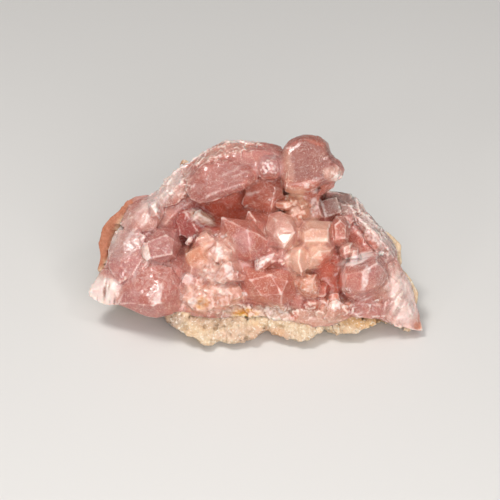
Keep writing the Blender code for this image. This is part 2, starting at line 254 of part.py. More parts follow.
HOLLOW_CRYSTALS = {
    "roof_hanger": (-13.0, [
        (-2.9, 7.2, -6.8), (-2.1, 9.9, -5.4), (0.6, 12.4, -4), (5.6, 12.6, -4.2), (6, 8.4, -5),
        (5.1, 5.8, -5.6), (2.7, 3.7, -6.8), (-1, 5.4, -7.2), (0.4, 9.3, -4.2), (4.3, 10.5, -3.4),
        (3.5, 6.4, -4.2),
    ]),
    "cavity_left": (-12.0, [
        (-17.1, 6.6, -5.4), (-14.6, 7.4, -5.4), (-10.9, 6.8, -6.8), (-7.6, 5.6, -8.2), (-6.8, 2.9, -8.2),
        (-9.3, 0.2, -6.4), (-13.8, -0.4, -4.8), (-15.9, 1.2, -4.6), (-14.2, 5.1, -3.8), (-12.1, 1.6, -4),
        (-10.3, 4.7, -5.2),
    ]),
    "cavity_blade": (-9.0, [
        (-13.3, 3.3, -3.8), (-12.4, 5.6, -3.4), (-11.3, 6.1, -3.6), (-9.9, 4.9, -4.6), (-7.2, 2.5, -6.4),
        (-10.5, 2.3, -5), (-11.5, 4.9, -2.6),
    ]),
    "cavity_right": (-11.0, [
        (6, 7.8, -5.6), (7.6, 10.1, -5), (10.7, 10.1, -5), (11.9, 7.4, -5), (11.7, 4.1, -4.8),
        (8.9, 3.1, -3.8), (6.2, 4.9, -4.6), (7.4, 7, -3.2), (10.1, 7.6, -3), (10.3, 5.1, -3), (8, 4.9, -3),
    ]),
    "white_edged": (-10.0, [
        (11.7, 6.6, -4.6), (12.4, 8.1, -3.8), (13.4, 8.3, -3.8), (14.8, 4.9, -5.6), (14.8, 3.9, -5.6),
        (11.9, 3.9, -4.6), (13, 7.4, -3), (13.6, 4.9, -3.8),
    ]),
    "corner_crystal": (-8.5, [
        (-7, 4.4, 0), (-0.6, 3.5, 0.6), (3.2, -1, 0.8), (1.4, -3.9, 1), (-1, -4.8, 1.2), (-3.7, -3.9, 0.6),
        (-7.2, 1.2, -0.8), (-1.6, 1.7, 4.6), (-4.7, -0.1, 3), (-1, -2.5, 4), (1, 0.6, 3.4),
    ]),
    "back_point": (-9.0, [
        (-1.4, 5.7, -1.2), (-2.1, 3.5, -1.4), (-1.9, 1.4, -0.8), (1.4, 4.2, -2.6), (2.9, 2.5, -2.6),
        (2.7, 0, -1.4), (0, 3.7, 0.8), (0.4, 1.2, 0.6),
    ]),
    "glint_crystal": (-8.5, [
        (2.2, 2.1, 0.4), (2.8, 4.8, -0.6), (5.1, 5.6, -1), (7.6, 4.5, -1), (8.9, 1.9, 0), (8.6, -1, 1),
        (6, -2.8, 1.4), (3.1, -1.6, 1.2), (4, 0.3, 3.6), (8.2, 1.2, 4), (5.9, -2.1, 4.9), (4.3, 3.7, 1.9),
        (7, 3.5, 2.3),
    ]),
    "square_corner": (-8.5, [
        (9.1, 2.1, 0), (9.9, 3.7, -0.6), (15.7, 3.5, -0.9), (15.8, -1.6, 1), (9.9, -2.1, 1.4), (9, 0, 0.8),
        (11.5, 1.9, 3.6), (15.1, 1.7, 3), (15, -0.8, 3.8), (10.1, -0.8, 3.8), (10, 1.2, 3.4),
    ]),
    "leaf": (-6.0, [
        (13.6, -0.7, 0.8), (16.5, -1.6, 0.6), (15.9, -4.1, 1), (13.4, -6.2, 1.2), (11, -6.7, 1.2),
        (10.5, -3.7, 1.6), (11.1, -1.4, 1.4), (13.2, -2.6, 4.8), (15.4, -2.6, 3.6), (13.8, -4.6, 4.2),
        (11.5, -4.1, 4.4),
    ]),
    "keystone": (-6.0, [
        (6.8, -3.3, 1.6), (7.6, -2.1, 1.6), (9.9, -1.4, 1.8), (11, -3.5, 1.8), (10.9, -6.2, 2),
        (9.5, -7.7, 2.2), (7.8, -6.8, 2.2), (6.9, -4.9, 1.8), (9.2, -2.2, 4.6), (8.9, -5.1, 5.4),
        (9.5, -7, 4.6), (7.7, -3.7, 3.8),
    ]),
    "upright": (-9.0, [
        (15.7, 3.1, -1.8), (16.8, 4.6, -2.2), (18.3, 4.5, -2.4), (19.6, 2.9, -2.2), (19.4, -0.4, -1.4),
        (17.5, -1.7, -0.8), (15.6, -1.4, -0.9), (16.4, 2.6, 1.4), (17.5, 3.6, 0.8), (18.7, 2.5, 0.6),
        (18.5, 0, 1.4), (16.5, -0.4, 1.8),
    ]),
    "step_left": (-7.0, [
        (17.3, -2.3, -0.6), (17.8, -1.4, -0.6), (18.9, -0.8, -0.8), (20.2, -0.9, -1), (20.3, -2.7, -0.6),
        (18.8, -4.4, 0), (17.5, -3.7, -0.2), (18.2, -1.9, 1.6), (19.6, -1.4, 1.4), (19.5, -2.9, 2),
        (18.3, -3.3, 2),
    ]),
    "step_right": (-7.0, [
        (19.4, -2.7, -0.4), (20.2, -1.8, -0.6), (21.3, -1.9, -0.8), (21.7, -3.3, -0.6), (21.6, -4.5, -0.2),
        (19.6, -4.9, 0.2), (20.1, -2.5, 2.2), (21.1, -2.6, 1.8), (21, -4.1, 2.4), (19.8, -4.1, 2.6),
    ]),
    "boulder": (-8.5, [
        (17.2, -10.1, -0.6), (17.4, -7.4, -0.8), (18.9, -4.9, -1.4), (23.1, -3.1, -2.2), (25.1, -3, -2.6),
        (27.3, -5.6, -2.8), (27.4, -8.9, -2.2), (25.1, -11.2, -1.4), (21.4, -12.6, -0.8),
        (18.5, -12.2, -0.6), (21.8, -6.7, 6), (24.9, -5.1, 4.4), (18.4, -7.3, 4), (21.7, -10.9, 4.8),
        (24.7, -10.1, 3.8), (26.7, -6.8, 1.8), (18.7, -10.7, 3.2),
    ]),
    "floor_face": (-9.0, [
        (13, -6.2, -3.6), (15.9, -2.5, -5), (18.9, -3.9, -4.8), (18.7, -7.8, -4.4), (17.5, -11.9, -3.8),
        (13.8, -12.4, -3.2), (12.6, -9.5, -3),
    ]),
    "low_crystal": (-6.5, [
        (-3.3, -8.4, -0.6), (-2.1, -6.1, 0), (1.4, -6.2, 0.8), (6.8, -5.9, 0.6), (8.4, -8.9, 0.3),
        (8.4, -11.5, -0.4), (6, -15.2, -1.6), (1, -12.8, -1.2), (-2.5, -12.1, -1.2), (-1, -8.6, 2.8),
        (3.1, -7.5, 3.9), (6.6, -8.9, 3.2), (5.4, -11.5, 3.8), (1.2, -11.7, 2.8), (5.4, -14, 1.2),
    ]),
    "bright_blade": (-5.0, [
        (-0.3, -6.8, 0.6), (0, -5.1, 1.6), (1, -3.8, 1.8), (2.7, -3.2, 1.4), (4.3, -3.8, 1),
        (3.9, -5.1, 1.8), (1.9, -6.4, 2.8), (0.4, -7.3, 1.6), (1, -5.3, 4), (2.8, -4.1, 3.6),
    ]),
    "step_under": (-5.0, [
        (2.7, -2.7, 0.6), (5.6, -2.4, 1), (8.6, -2.5, 1.4), (8, -4.9, 1.8), (6.4, -6.3, 1.4),
        (3.5, -5.4, 1), (4.3, -3.3, 2.8), (7, -3.5, 3), (5.8, -5.1, 3),
    ]),
    "peach_lump": (-6.0, [
        (8.2, -9.5, 0), (9.3, -7.6, 0.6), (12.6, -7.3, 0.4), (13.8, -9.9, -0.6), (13, -12.2, -1),
        (9.9, -12.1, -0.6), (9.9, -8.4, 3.4), (12, -8.4, 3), (12.8, -10.3, 2.2), (10.5, -11.3, 2.6),
    ]),
    "small_round": (-6.0, [
        (9.8, -14, -0.8), (10.7, -12.6, -0.6), (12.4, -12.3, -0.8), (13.5, -13.2, -1.4),
        (13.1, -14.6, -1.6), (11.1, -15.5, -1.6), (11.1, -13.3, 1.2), (12.4, -13.4, 0.8),
        (11.5, -14.5, 0.8),
    ]),
    "druse_knob": (-6.0, [
        (14.3, -14.6, -1.6), (15, -12.8, -1.2), (15.9, -12.1, -1.2), (17.7, -12.4, -1.6), (18.6, -14, -2),
        (18.3, -15.9, -2.2), (15.6, -16.3, -1.8), (15.6, -13.2, 0.8), (17.3, -13.4, 0.6), (17.1, -15, 0.4),
    ]),
    "nodule": (-6.5, [
        (-12, 0.2, -1.4), (-11.6, 1.3, -1.6), (-10.3, 1.9, -1.8), (-9.1, 1.3, -1.8), (-8.4, 0, -1.6),
        (-8.9, -1.2, -1), (-10.5, -1.6, -0.8), (-11.7, -1, -1), (-11, 0.8, 0.8), (-9.7, 0.8, 0.8),
        (-9.5, -0.4, 1.2), (-10.9, -0.5, 1.2),
    ]),
    "peach_plate": (-6.5, [
        (-14.3, -3.9, -1.6), (-14, -2.3, -1.8), (-10.5, -1.2, -0.8), (-9.9, -3.7, -0.4),
        (-10.5, -5.7, -0.4), (-13.4, -6, -1.2), (-13.3, -2.9, 0.6), (-10.9, -2.1, 1.4), (-10.8, -4.5, 1.6),
        (-13, -5, 0.8),
    ]),
    "clump": (-7.0, [
        (-9.3, -2.5, -0.4), (-8.6, 0, -1), (-7.1, 0.9, -1.2), (-4.3, -1.6, -0.4), (-3.6, -4.1, 0),
        (-4.7, -5.9, 0.4), (-8.9, -4.9, 0.2), (-7.8, -1, 2.6), (-6.4, -1.2, 2.6), (-5.1, -2.9, 2.8),
        (-5.6, -4.7, 3.2), (-8.2, -3.7, 3),
    ]),
    "clump_foot": (-6.0, [
        (-13.1, -7.2, -1), (-11.7, -5.5, -0.6), (-7.2, -5.1, 0.6), (-3.7, -4.9, 0.4), (-2.7, -7, -0.2),
        (-4.3, -9.4, -0.8), (-9.7, -9.9, -0.9), (-10.7, -6.6, 1.8), (-8, -6.2, 2.6), (-5.4, -5.6, 3.6),
        (-4.1, -6.8, 2.8), (-5.4, -8.4, 2.2), (-9.5, -8.4, 1.8),
    ]),
    "druse_left": (-6.0, [
        (-15.6, -11.9, -2.4), (-15, -8.2, -2.6), (-13.4, -7.1, -2.4), (-11.9, -9.3, -1.4),
        (-11.3, -12.8, -1.2), (-12.1, -14.8, -1.6), (-14, -14.2, -1.8), (-14.2, -8.6, 0.4),
        (-13.2, -10.7, 0.8), (-13.4, -13.2, 0.6),
    ]),
    "druse_middle": (-6.0, [
        (-12.6, -12.8, -1.4), (-11.7, -9.5, -1.2), (-8.4, -9.3, -1), (-6.8, -11.3, -1), (-6.8, -14, -1.4),
        (-9.9, -16.5, -2), (-11.9, -15.4, -1.9), (-10.5, -10.5, 1.2), (-8.6, -11.1, 1.4),
        (-8.9, -13.4, 0.8), (-10.7, -13, 1),
    ]),
    "druse_right": (-6.0, [
        (-8, -10.7, -1), (-5.6, -9.5, -1), (-3.1, -10.3, -1), (-1.4, -11.7, -1.4), (-3.5, -13.2, -1.8),
        (-6.8, -15, -2), (-8, -13.6, -1.4), (-6.2, -10.9, 1.2), (-3.7, -11.1, 1), (-4.9, -12.8, 0.6),
        (-6.6, -13, 0.8),
    ]),
}


def clear_scene():
    for thing in list(bpy.data.objects):
        bpy.data.objects.remove(thing, do_unlink=True)


def new_collection(name):
    made = bpy.data.collections.new(name)
    bpy.context.scene.collection.children.link(made)
    return made


def add_object(name, bm, collection, face):
    """An object on the specimen's face, from a bmesh that is drawn in millimetres."""
    bmesh.ops.scale(bm, vec=(MM, MM, MM), verts=bm.verts)
    bmesh.ops.recalc_face_normals(bm, faces=bm.faces)
    mesh = bpy.data.meshes.new(name)
    bm.to_mesh(mesh)
    bm.free()
    made = bpy.data.objects.new(name, mesh)
    collection.objects.link(made)
    made.parent = face
    return made


def hide_helpers(collection):
    for helper in collection.objects:
        helper.hide_render = True
        helper.display_type = "WIRE"
    return collection


def join(base, collection, solver="EXACT"):
    """Fuses everything in a collection to the base."""
    union = base.modifiers.new("grown_together", "BOOLEAN")
    union.operation = "UNION"
    union.operand_type = "COLLECTION"
    union.collection = collection
    union.solver = solver


def cut(base, collection, name, solver="EXACT"):
    """Takes everything in a collection away from the base."""
    difference = base.modifiers.new(name, "BOOLEAN")
    difference.operation = "DIFFERENCE"
    difference.operand_type = "COLLECTION"
    difference.collection = collection
    difference.solver = solver


def swell(base, distance):
    displace = base.modifiers.new("clearance", "DISPLACE")
    displace.direction = "NORMAL"
    displace.mid_level = 0.0
    displace.strength = distance * MM


# ---- stony masses: a sphere whose equator becomes a broken rim ----


def height_between(marks, u, v):
    """Height at (u, v), weighted towards the nearest marks."""
    top = 0.0
    weight = 0.0
    for mark_u, mark_v, mark_w in marks:
        share = ((u - mark_u) ** 2 + (v - mark_v) ** 2 + MARK_SOFTNESS) ** MARK_POWER
        top += share * mark_w
        weight += share
    return top / weight


def roughen(point, size, strength):
    """A point moved by broken-rock noise whose lumps are size across."""
    moved = point.copy()
    for axis in range(3):
        place = point / size + Vector((NOISE_APART * axis, 0.0, 0.0))
        moved[axis] += strength * (noise.noise(place) + noise.noise(FINER * place) / FINER)
    return moved


def stony_mass(rim, rings, inner, outer, rough):
    """A sphere mapped on a rim: inner and outer give a point of each side from its place on the rim and ring."""
    centre = Vector((*FACE_CENTRE, 0.0))
    bm = bmesh.new()
    bmesh.ops.create_uvsphere(bm, u_segments=len(rim), v_segments=rings, radius=1.0)
    for vert in bm.verts:
        out = min(1.0, math.hypot(vert.co.x, vert.co.y))
        turn = math.atan2(vert.co.y, vert.co.x) / math.tau
        edge_u, edge_v, edge_w = rim[round((turn + 0.5) * len(rim)) % len(rim)]
        flat = centre.lerp(Vector((edge_u, edge_v, 0.0)), out)
        side = inner if vert.co.z > 0.0 else outer
        vert.co = roughen(side(flat, out, edge_w), *rough)
    bmesh.ops.triangulate(bm, faces=bm.faces)
    return bm


def bowl(out, edge, depth, fullness):
    """Height of a bulging back, from the middle to its rim."""
    return edge * out**RIM_RISE - depth * max(0.0, 1.0 - out**fullness) ** (1.0 / fullness)


def wall_body(name, collection, face):
    marks = WALL_RELIEF + WALL_RIM

    def inner(flat, out, edge):
        return Vector((flat.x, flat.y, height_between(marks, flat.x, flat.y)))

    def outer(flat, out, edge):
        return Vector((flat.x, flat.y, bowl(out, edge, WALL_DEPTH, WALL_FULLNESS)))

    mass = stony_mass(WALL_RIM, WALL_RINGS, inner, outer, WALL_ROUGHNESS)
    return add_object(name, mass, collection, face)


def crust_body(name, collection, face):
    marks = WALL_RELIEF + WALL_RIM

    def inner(flat, out, edge):
        ground = height_between(marks, flat.x, flat.y)
        cover = max(CRUST_COVER, height_between(CRUST_RELIEF, flat.x, flat.y) - ground)
        return Vector((flat.x, flat.y, ground + cover * math.sqrt(1.0 - out**CRUST_FULLNESS)))

    def outer(flat, out, edge):
        root = CRUST_ROOT * math.sqrt(1.0 - out**CRUST_FULLNESS)
        return Vector((flat.x, flat.y, height_between(marks, flat.x, flat.y) - root))

    mass = stony_mass(HOLLOW_RIM, CRUST_RINGS, inner, outer, WALL_ROUGHNESS)
    return add_object(name, mass, collection, face)


def rind_body(name, collection, face):
    marks = RIND_RELIEF + RIND_RIM

    def inner(flat, out, edge):
        return Vector((flat.x, flat.y, height_between(marks, flat.x, flat.y)))

    def outer(flat, out, edge):
        return Vector((flat.x, flat.y, bowl(out, edge, RIND_DEPTH, RIND_FULLNESS)))

    mass = stony_mass(RIND_RIM, RIND_RINGS, inner, outer, RIND_ROUGHNESS)
    return add_object(name, mass, collection, face)


# ---- crystals ----


def crystal_hull(corners, root_height, spread):
    """A convex crystal: its corners, its outline drawn in at the root, and all of it swollen by spread."""
    centre = sum((Vector(c) for c in corners), Vector()) / len(corners)
    points = []
    for corner in corners:
        root = centre + (Vector(corner) - centre) * ROOT_SCALE
        points += [Vector(corner), Vector((root.x, root.y, root_height))]
    bm = bmesh.new()
    for point in points:
        for arm in swelling(spread):
            bm.verts.new(point + arm)
    hull = bmesh.ops.convex_hull(bm, input=bm.verts)
    inside = [g for g in hull["geom_interior"] if isinstance(g, bmesh.types.BMVert)]
    bmesh.ops.delete(bm, geom=inside, context="VERTS")
    bmesh.ops.dissolve_limit(bm, angle_limit=math.radians(FLAT_DEG), verts=bm.verts, edges=bm.edges)
    return bm


def swelling(spread):
    """Moves that make a convex hull larger on every side, or no move."""
    if spread == 0.0:
        return [Vector()]
    return [Vector(axis) * sign * spread for axis in ((1, 0, 0), (0, 1, 0), (0, 0, 1)) for sign in (1.0, -1.0)]


def crystals(table, collection, face, spread=0.0):
    """One crystal for each entry. Their roots end at unlike depths, so that no two root faces share a plane."""
    for number, (name, (root_height, corners)) in enumerate(table.items()):
        bm = crystal_hull(corners, root_height - ROOT_STEP * number, spread)
        add_object(f"{name}_{collection.name}", bm, collection, face)


def cleave(bm, point, normal):
    """Cuts a convex solid to the side of a plane that its normal points away from."""
    everything = bm.verts[:] + bm.edges[:] + bm.faces[:]
    made = bmesh.ops.bisect_plane(bm, geom=everything, plane_co=point, plane_no=normal, clear_outer=True)
    rim = [g for g in made["geom_cut"] if isinstance(g, bmesh.types.BMEdge)]
    if rim:
        bmesh.ops.contextual_create(bm, geom=rim)


def point_shape(width, length, minor):
    """A quartz point, tip at the origin and long axis on +Z: a prism cut by six planes, of which three are large."""
    bm = bmesh.new()
    corner = width / math.sqrt(3.0)
    bmesh.ops.create_cone(bm, cap_ends=True, segments=6, radius1=corner, radius2=corner, depth=length)
    bmesh.ops.translate(bm, vec=(0.0, 0.0, width - length / 2.0), verts=bm.verts)
    tilt = math.radians(RHOMB_TILT_DEG)
    for side in range(6):
        turn = math.radians(60.0 * side + 30.0)
        normal = Vector((math.sin(tilt) * math.cos(turn), math.sin(tilt) * math.sin(turn), math.cos(tilt)))
        lift = minor * width if side % 2 else 0.0
        cleave(bm, Vector((0.0, 0.0, lift)), normal)
    bmesh.ops.dissolve_degenerate(bm, dist=SMALLEST_EDGE, edges=bm.edges)
    return bm


def quartz_point(name, collection, face, tip, axis, width, length, spin, minor):
    bm = point_shape(width, length, minor)
    turn = Vector(axis).to_track_quat("Z", "Y").to_matrix().to_4x4()
    turn = turn @ Matrix.Rotation(math.radians(spin), 4, "Z")
    bmesh.ops.transform(bm, matrix=Matrix.Translation(Vector(tip)) @ turn, verts=bm.verts)
    return add_object(name, bm, collection, face)


def druse(collection, face):
    """Small quartz points that stand out of the crystals of the hollow."""
    for patch, (u, v, w, reach, count, width) in enumerate(DRUSE):
        chance = random.Random(patch + 1)
        for number in range(count):
            turn = chance.uniform(0.0, math.tau)
            out = math.sqrt(chance.random())
            lean = Vector((math.cos(turn), math.sin(turn), 0.0)) * out
            rise = width * chance.uniform(-DRUSE_RISE, DRUSE_RISE)
            tip = Vector((u, v, w + rise)) + lean * reach
            wander = [chance.uniform(-DRUSE_WANDER, DRUSE_WANDER) for _ in range(2)]
            axis = lean * DRUSE_LEAN + Vector((*wander, 1.0))
            size = width * chance.uniform(*DRUSE_SIZES)
            spin = chance.uniform(0.0, 120.0)
            minor = chance.uniform(*DRUSE_MINOR)
            name = f"druse_{patch}_{number}"
            quartz_point(name, collection, face, tip, axis, size, DRUSE_LENGTH * width, spin, minor)


def ground_cutter():
    """A block under the plane Z = 0, which leaves the flat patch that the specimen rests on."""
    cutter = new_collection("ground")
    bm = bmesh.new()
    bmesh.ops.create_cube(bm, size=GROUND_BLOCK * MM)
    mesh = bpy.data.meshes.new("ground")
    bm.to_mesh(mesh)
    bm.free()
    block = bpy.data.objects.new("ground", mesh)
    block.location.z = -0.5 * GROUND_BLOCK * MM
    cutter.objects.link(block)
    return hide_helpers(cutter)


def paint(collection):
    for name, (colour, roughness) in COLOURS.items():
        material = bpy.data.materials.new(name)
        material.use_nodes = True
        surface = material.node_tree.nodes["Principled BSDF"]
        surface.inputs["Base Color"].default_value = colour
        surface.inputs["Roughness"].default_value = roughness
        surface.inputs["Metallic"].default_value = 0.0
        collection.objects[name].data.materials.append(material)


def main():
    clear_scene()
    specimen = new_collection("pink_amethyst_specimen")
    wall_growth = new_collection("wall_crystals")
    hollow_growth = new_collection("hollow_crystals_grown")
    clearance = new_collection("clearance")
    face = bpy.data.objects.new("face", None)
    specimen.objects.link(face)
    face.rotation_euler.x = math.radians(90.0 - LEAN_DEG)
    face.location = Vector(FACE_PLACE) * MM

    wall = wall_body("amethyst_wall", specimen, face)
    crystals(WALL_CRYSTALS, wall_growth, face)
    join(wall, wall_growth)

    swollen = wall_body("wall_clearance", clearance, face)
    swell(swollen, JOINT_GAP)
    crystals(WALL_CRYSTALS, clearance, face, CRYSTAL_CLEARANCE)

    crust = crust_body("hollow_crystals", specimen, face)
    crystals(HOLLOW_CRYSTALS, hollow_growth, face)
    druse(hollow_growth, face)
    join(crust, hollow_growth, "MANIFOLD")  # EXACT leaves open edges on the crust's many small crossings
    cut(crust, clearance, "clear_of_wall", "MANIFOLD")

    rind = rind_body("matrix_rind", specimen, face)
    cut(rind, clearance, "clear_of_wall", "MANIFOLD")  # EXACT leaves open edges along the rim
    cut(rind, ground_cutter(), "flat_base", "MANIFOLD")
    for collection in (wall_growth, hollow_growth, clearance):
        hide_helpers(collection)
    paint(specimen)


main()
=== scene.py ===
"""Looks of the pink amethyst specimen: its quartz as one skin and its rind, roughened, tinted and given materials.

Shapes are worked out on the specimen's face, as in the CAD: u runs right, v up the face and w out of it, in
millimetres. Tints, frost and broken areas are patches at (u, v). A patch reaches through to the back, unless it gives
its lowest and highest w.
"""

import itertools
import math

import bmesh
import bpy
import numpy as np
from mathutils import Matrix, Vector
from mathutils.bvhtree import BVHTree


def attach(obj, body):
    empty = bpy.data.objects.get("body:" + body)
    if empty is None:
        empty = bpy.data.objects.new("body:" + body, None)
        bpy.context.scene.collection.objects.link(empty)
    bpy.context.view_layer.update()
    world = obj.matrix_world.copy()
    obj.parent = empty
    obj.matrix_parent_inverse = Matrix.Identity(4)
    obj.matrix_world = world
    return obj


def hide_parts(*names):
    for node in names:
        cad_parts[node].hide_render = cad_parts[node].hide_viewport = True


MM = 0.001
LEAN_DEG = 35.0  # how far w points above the horizon
FACE_PLACE = (-0.1, -6.3, 20.5)  # the face's own origin, over the middle of the specimen's box and the ground
FRONT = 30.0  # w of a place in front of everything
BACKWARD = Vector((0.0, 0.0, -1.0))
BEYOND = 9.0  # more than any distance that is compared with it
NO_LIMIT = 99.0

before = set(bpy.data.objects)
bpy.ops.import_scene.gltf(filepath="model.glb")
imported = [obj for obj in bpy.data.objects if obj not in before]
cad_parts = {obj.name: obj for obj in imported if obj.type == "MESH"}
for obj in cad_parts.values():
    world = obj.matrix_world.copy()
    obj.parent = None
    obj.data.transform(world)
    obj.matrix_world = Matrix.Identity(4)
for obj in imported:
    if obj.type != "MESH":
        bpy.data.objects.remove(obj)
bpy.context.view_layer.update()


# ---- numbers from places: noise that is the same on each run ----


CELL_FACTORS = (73856093, 19349663, 83492791)
SEED_FACTOR = 40503
SPLITMIX_STEP = 0x9E3779B97F4A7C15  # this step, the two factors and the shifts below are those of SplitMix64
SPLITMIX_FACTORS = (np.uint64(0xBF58476D1CE4E5B9), np.uint64(0x94D049BB133111EB))


def scattered(cells, seed):
    """Three random numbers, 0 to 1, for each whole-numbered cell."""
    mixed = seed * SEED_FACTOR
    for axis, factor in enumerate(CELL_FACTORS):
        mixed = cells[:, axis] * factor ^ mixed
    mixed = mixed.astype(np.uint64)
    numbers = []
    for step in (1, 2, 3):
        value = mixed + np.uint64(SPLITMIX_STEP * step % 2**64)
        value = (value ^ (value >> np.uint64(30))) * SPLITMIX_FACTORS[0]
        value = (value ^ (value >> np.uint64(27))) * SPLITMIX_FACTORS[1]
        value = value ^ (value >> np.uint64(31))
        numbers.append((value >> np.uint64(40)).astype(float) / 2.0**24)
    return np.stack(numbers, axis=1)


def soft_noise(points, size, seed):
    """Smooth noise, -1 to 1, with lumps of about that size."""
    place = points / size
    base = np.floor(place).astype(np.int64)
    part = place - base
    part = part * part * (3.0 - 2.0 * part)
    total = np.zeros(len(points))
    for corner in itertools.product((0, 1), repeat=3):
        share = np.prod(np.where(np.array(corner), part, 1.0 - part), axis=1)
        total += share * scattered(base + np.array(corner), seed)[:, 0]
    return 2.0 * total - 1.0


# Turns each finer noise, so that no grid shows.
TWIST = np.array(Matrix.Rotation(0.8, 3, Vector((1.0, 2.0, 3.0))))


def rugged(points, size, seed, octaves=3):
    """Lumps of that size with finer and finer lumps on them."""
    total = np.zeros(len(points))
    for k in range(octaves):
        points = points @ TWIST
        total += soft_noise(points, size / 2.0**k, seed + k) / 2.0**k
    return total


def chips(points, size, seed):
    """Cells of broken stone: each point's offset from the middle of its cell, and three random numbers of the cell."""
    place = points / size
    base = np.floor(place).astype(np.int64)
    nearest = np.full(len(points), BEYOND)
    offset = np.zeros_like(points)
    cell = np.zeros_like(base)
    for step in itertools.product((-1, 0, 1), repeat=3):
        other = base + np.array(step)
        away = place - other - scattered(other, seed)
        distance = (away**2).sum(axis=1)
        closer = distance < nearest
        nearest = np.where(closer, distance, nearest)
        offset[closer] = away[closer]
        cell[closer] = other[closer]
    return offset * size, scattered(cell, seed + 7)


CHIP_LEVEL = 0.35  # how much the levels of chips differ, as a share of their size


def broken(points, size, seed, tilt=0.5):
    """Height of a surface that breaks into flat chips, each with a lean and a level of its own."""
    offset, numbers = chips(points, size, seed)
    lean = (numbers - 0.5) * 2.0 * tilt
    level = (numbers.sum(axis=1) % 1.0 - 0.5) * CHIP_LEVEL * size
    return (offset * lean).sum(axis=1) + level


# ---- patches on the face ----


def ramp(value, low, high):
    """0 up to low, 1 from high on, and a soft rise between them."""
    part = np.clip((value - low) / (high - low), 0.0, 1.0)
    return part * part * (3.0 - 2.0 * part)


RAGGED_SIZE = 1.6  # size of the bays in a patch's edge
RAGGED_SHARE = 0.25
PATCH_EDGE = (0.7, 1.25)  # where a patch starts and ends to fade, as shares of its half-widths


def patch(points, ragged, u, v, half_u, half_v, turn=0.0, lowest=-NO_LIMIT, highest=NO_LIMIT):
    """1 inside an ellipse on the face, 0 well outside it and above or below its limits of w.

    The turn is in degrees. The ragged numbers shift its edge.
    """
    angle = math.radians(turn)
    across = points[:, 0] - u
    up = points[:, 1] - v
    along = across * math.cos(angle) + up * math.sin(angle)
    over = up * math.cos(angle) - across * math.sin(angle)
    far = np.hypot(along / half_u, over / half_v)
    height = points[:, 2] + ragged
    level = ramp(height, lowest - 1.0, lowest) * (1.0 - ramp(height, highest, highest + 1.0))
    return level * (1.0 - ramp(far + RAGGED_SHARE * ragged, *PATCH_EDGE))


def patched(points, table, seed):
    """How strong the strongest patch of a table is at each point."""
    ragged = rugged(points, RAGGED_SIZE, seed)
    return np.maximum.reduce([strength * patch(points, ragged, *place) for strength, *place in table])


# ---- meshes ----


def face_matrix():
    turn = Matrix.Rotation(math.radians(90.0 - LEAN_DEG), 4, "X")
    return Matrix.Translation(Vector(FACE_PLACE) * MM) @ turn @ Matrix.Scale(MM, 4)


FACE = face_matrix()


def placed(points, matrix):
    """Points moved by a matrix."""
    table = np.array(matrix)
    return points @ table[:3, :3].T + table[:3, 3]


def node_mesh(node):
    """A CAD node's points, measured on the face, and its faces."""
    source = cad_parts[node].data
    points = np.zeros(3 * len(source.vertices))
    source.vertices.foreach_get("co", points)
    return placed(points.reshape(-1, 3), FACE.inverted()), [list(side.vertices) for side in source.polygons]


def joined(*parts):
    """Several meshes as one: points and faces."""
    starts = np.cumsum([0] + [len(points) for points, _ in parts])
    faces = [[start + corner for corner in side] for start, (_, sides) in zip(starts, parts) for side in sides]
    return np.concatenate([points for points, _ in parts]), faces


def evened(points, faces, size):
    """One skin round closed meshes that overlap, made of small squares."""
    mesh = bpy.data.meshes.new("work")
    mesh.from_pydata(points, [], faces)
    copy = bpy.data.objects.new("work", mesh)
    bpy.context.scene.collection.objects.link(copy)
    remesh = copy.modifiers.new("even", "REMESH")
    remesh.mode = "VOXEL"
    remesh.voxel_size = size
    shape = copy.evaluated_get(bpy.context.evaluated_depsgraph_get()).to_mesh()
    points = np.zeros(3 * len(shape.vertices))
    shape.vertices.foreach_get("co", points)
    corners = np.zeros(4 * len(shape.polygons), np.int64)
    shape.polygons.foreach_get("vertices", corners)
    bpy.data.objects.remove(copy)
    return points.reshape(-1, 3), corners.reshape(-1, 4)


def tree_of(points, faces):
    """A mesh in a form that rays and nearest places are looked up in."""
    return BVHTree.FromPolygons(points.tolist(), [list(side) for side in faces])


def settled(points, shape, reach):
    """Points moved onto the shape's own flat faces where those are within reach, so that edges stay crisp."""
    moved = points.copy()
    for number, point in enumerate(points.tolist()):
        near = shape.find_nearest(point, reach)[0]
        if near is not None:
            moved[number] = near
    return moved


FACING = 0.4  # least cosine between a surface's normal and the way to the neighbour that it faces
TOUCHING = 1e-6


def closed_up(points, normals, neighbour, reach, bite):
    """Points that face a neighbouring body across a narrow gap, moved until they reach into it."""
    moved = points.copy()
    for number, (point, normal) in enumerate(zip(points.tolist(), normals.tolist())):
        near, _, _, distance = neighbour.find_nearest(point, reach)
        if near is None or distance < TOUCHING:
            continue
        step = near - Vector(point)
        if step.dot(Vector(normal)) > FACING * distance:
            moved[number] += np.array(step) * (1.0 + bite / distance)
    return moved


def neighbours(faces):
    """Every pair of points that share an edge, in both orders."""
    pairs = np.concatenate([faces[:, [k, (k + 1) % 4]] for k in range(4)])
    return np.concatenate([pairs, pairs[:, ::-1]])


def outer_shell(points, faces):
    """The biggest connected part of a mesh, without crumbs and without the walls of closed holes."""
    pairs = neighbours(faces)
    label = np.arange(len(points))
    while True:
        lowest = label.copy()
        np.minimum.at(lowest, pairs[:, 0], label[pairs[:, 1]])
        lowest = lowest[lowest]
        if (lowest == label).all():
            break
        label = lowest
    kept = label == np.bincount(label).argmax()
    number = np.cumsum(kept) - 1
    return points[kept], number[faces[kept[faces[:, 0]]]]


SMOOTHING = 0.5  # how far each point goes towards the middle of its neighbours at a time


def smoothed(points, pairs, times):
    first, second = pairs.T
    count = np.bincount(first, minlength=len(points))[:, None]
    for _ in range(times):
        total = np.stack([np.bincount(first, points[second, axis], len(points)) for axis in range(3)], axis=1)
        points = points + SMOOTHING * (total / count - points)
    return points


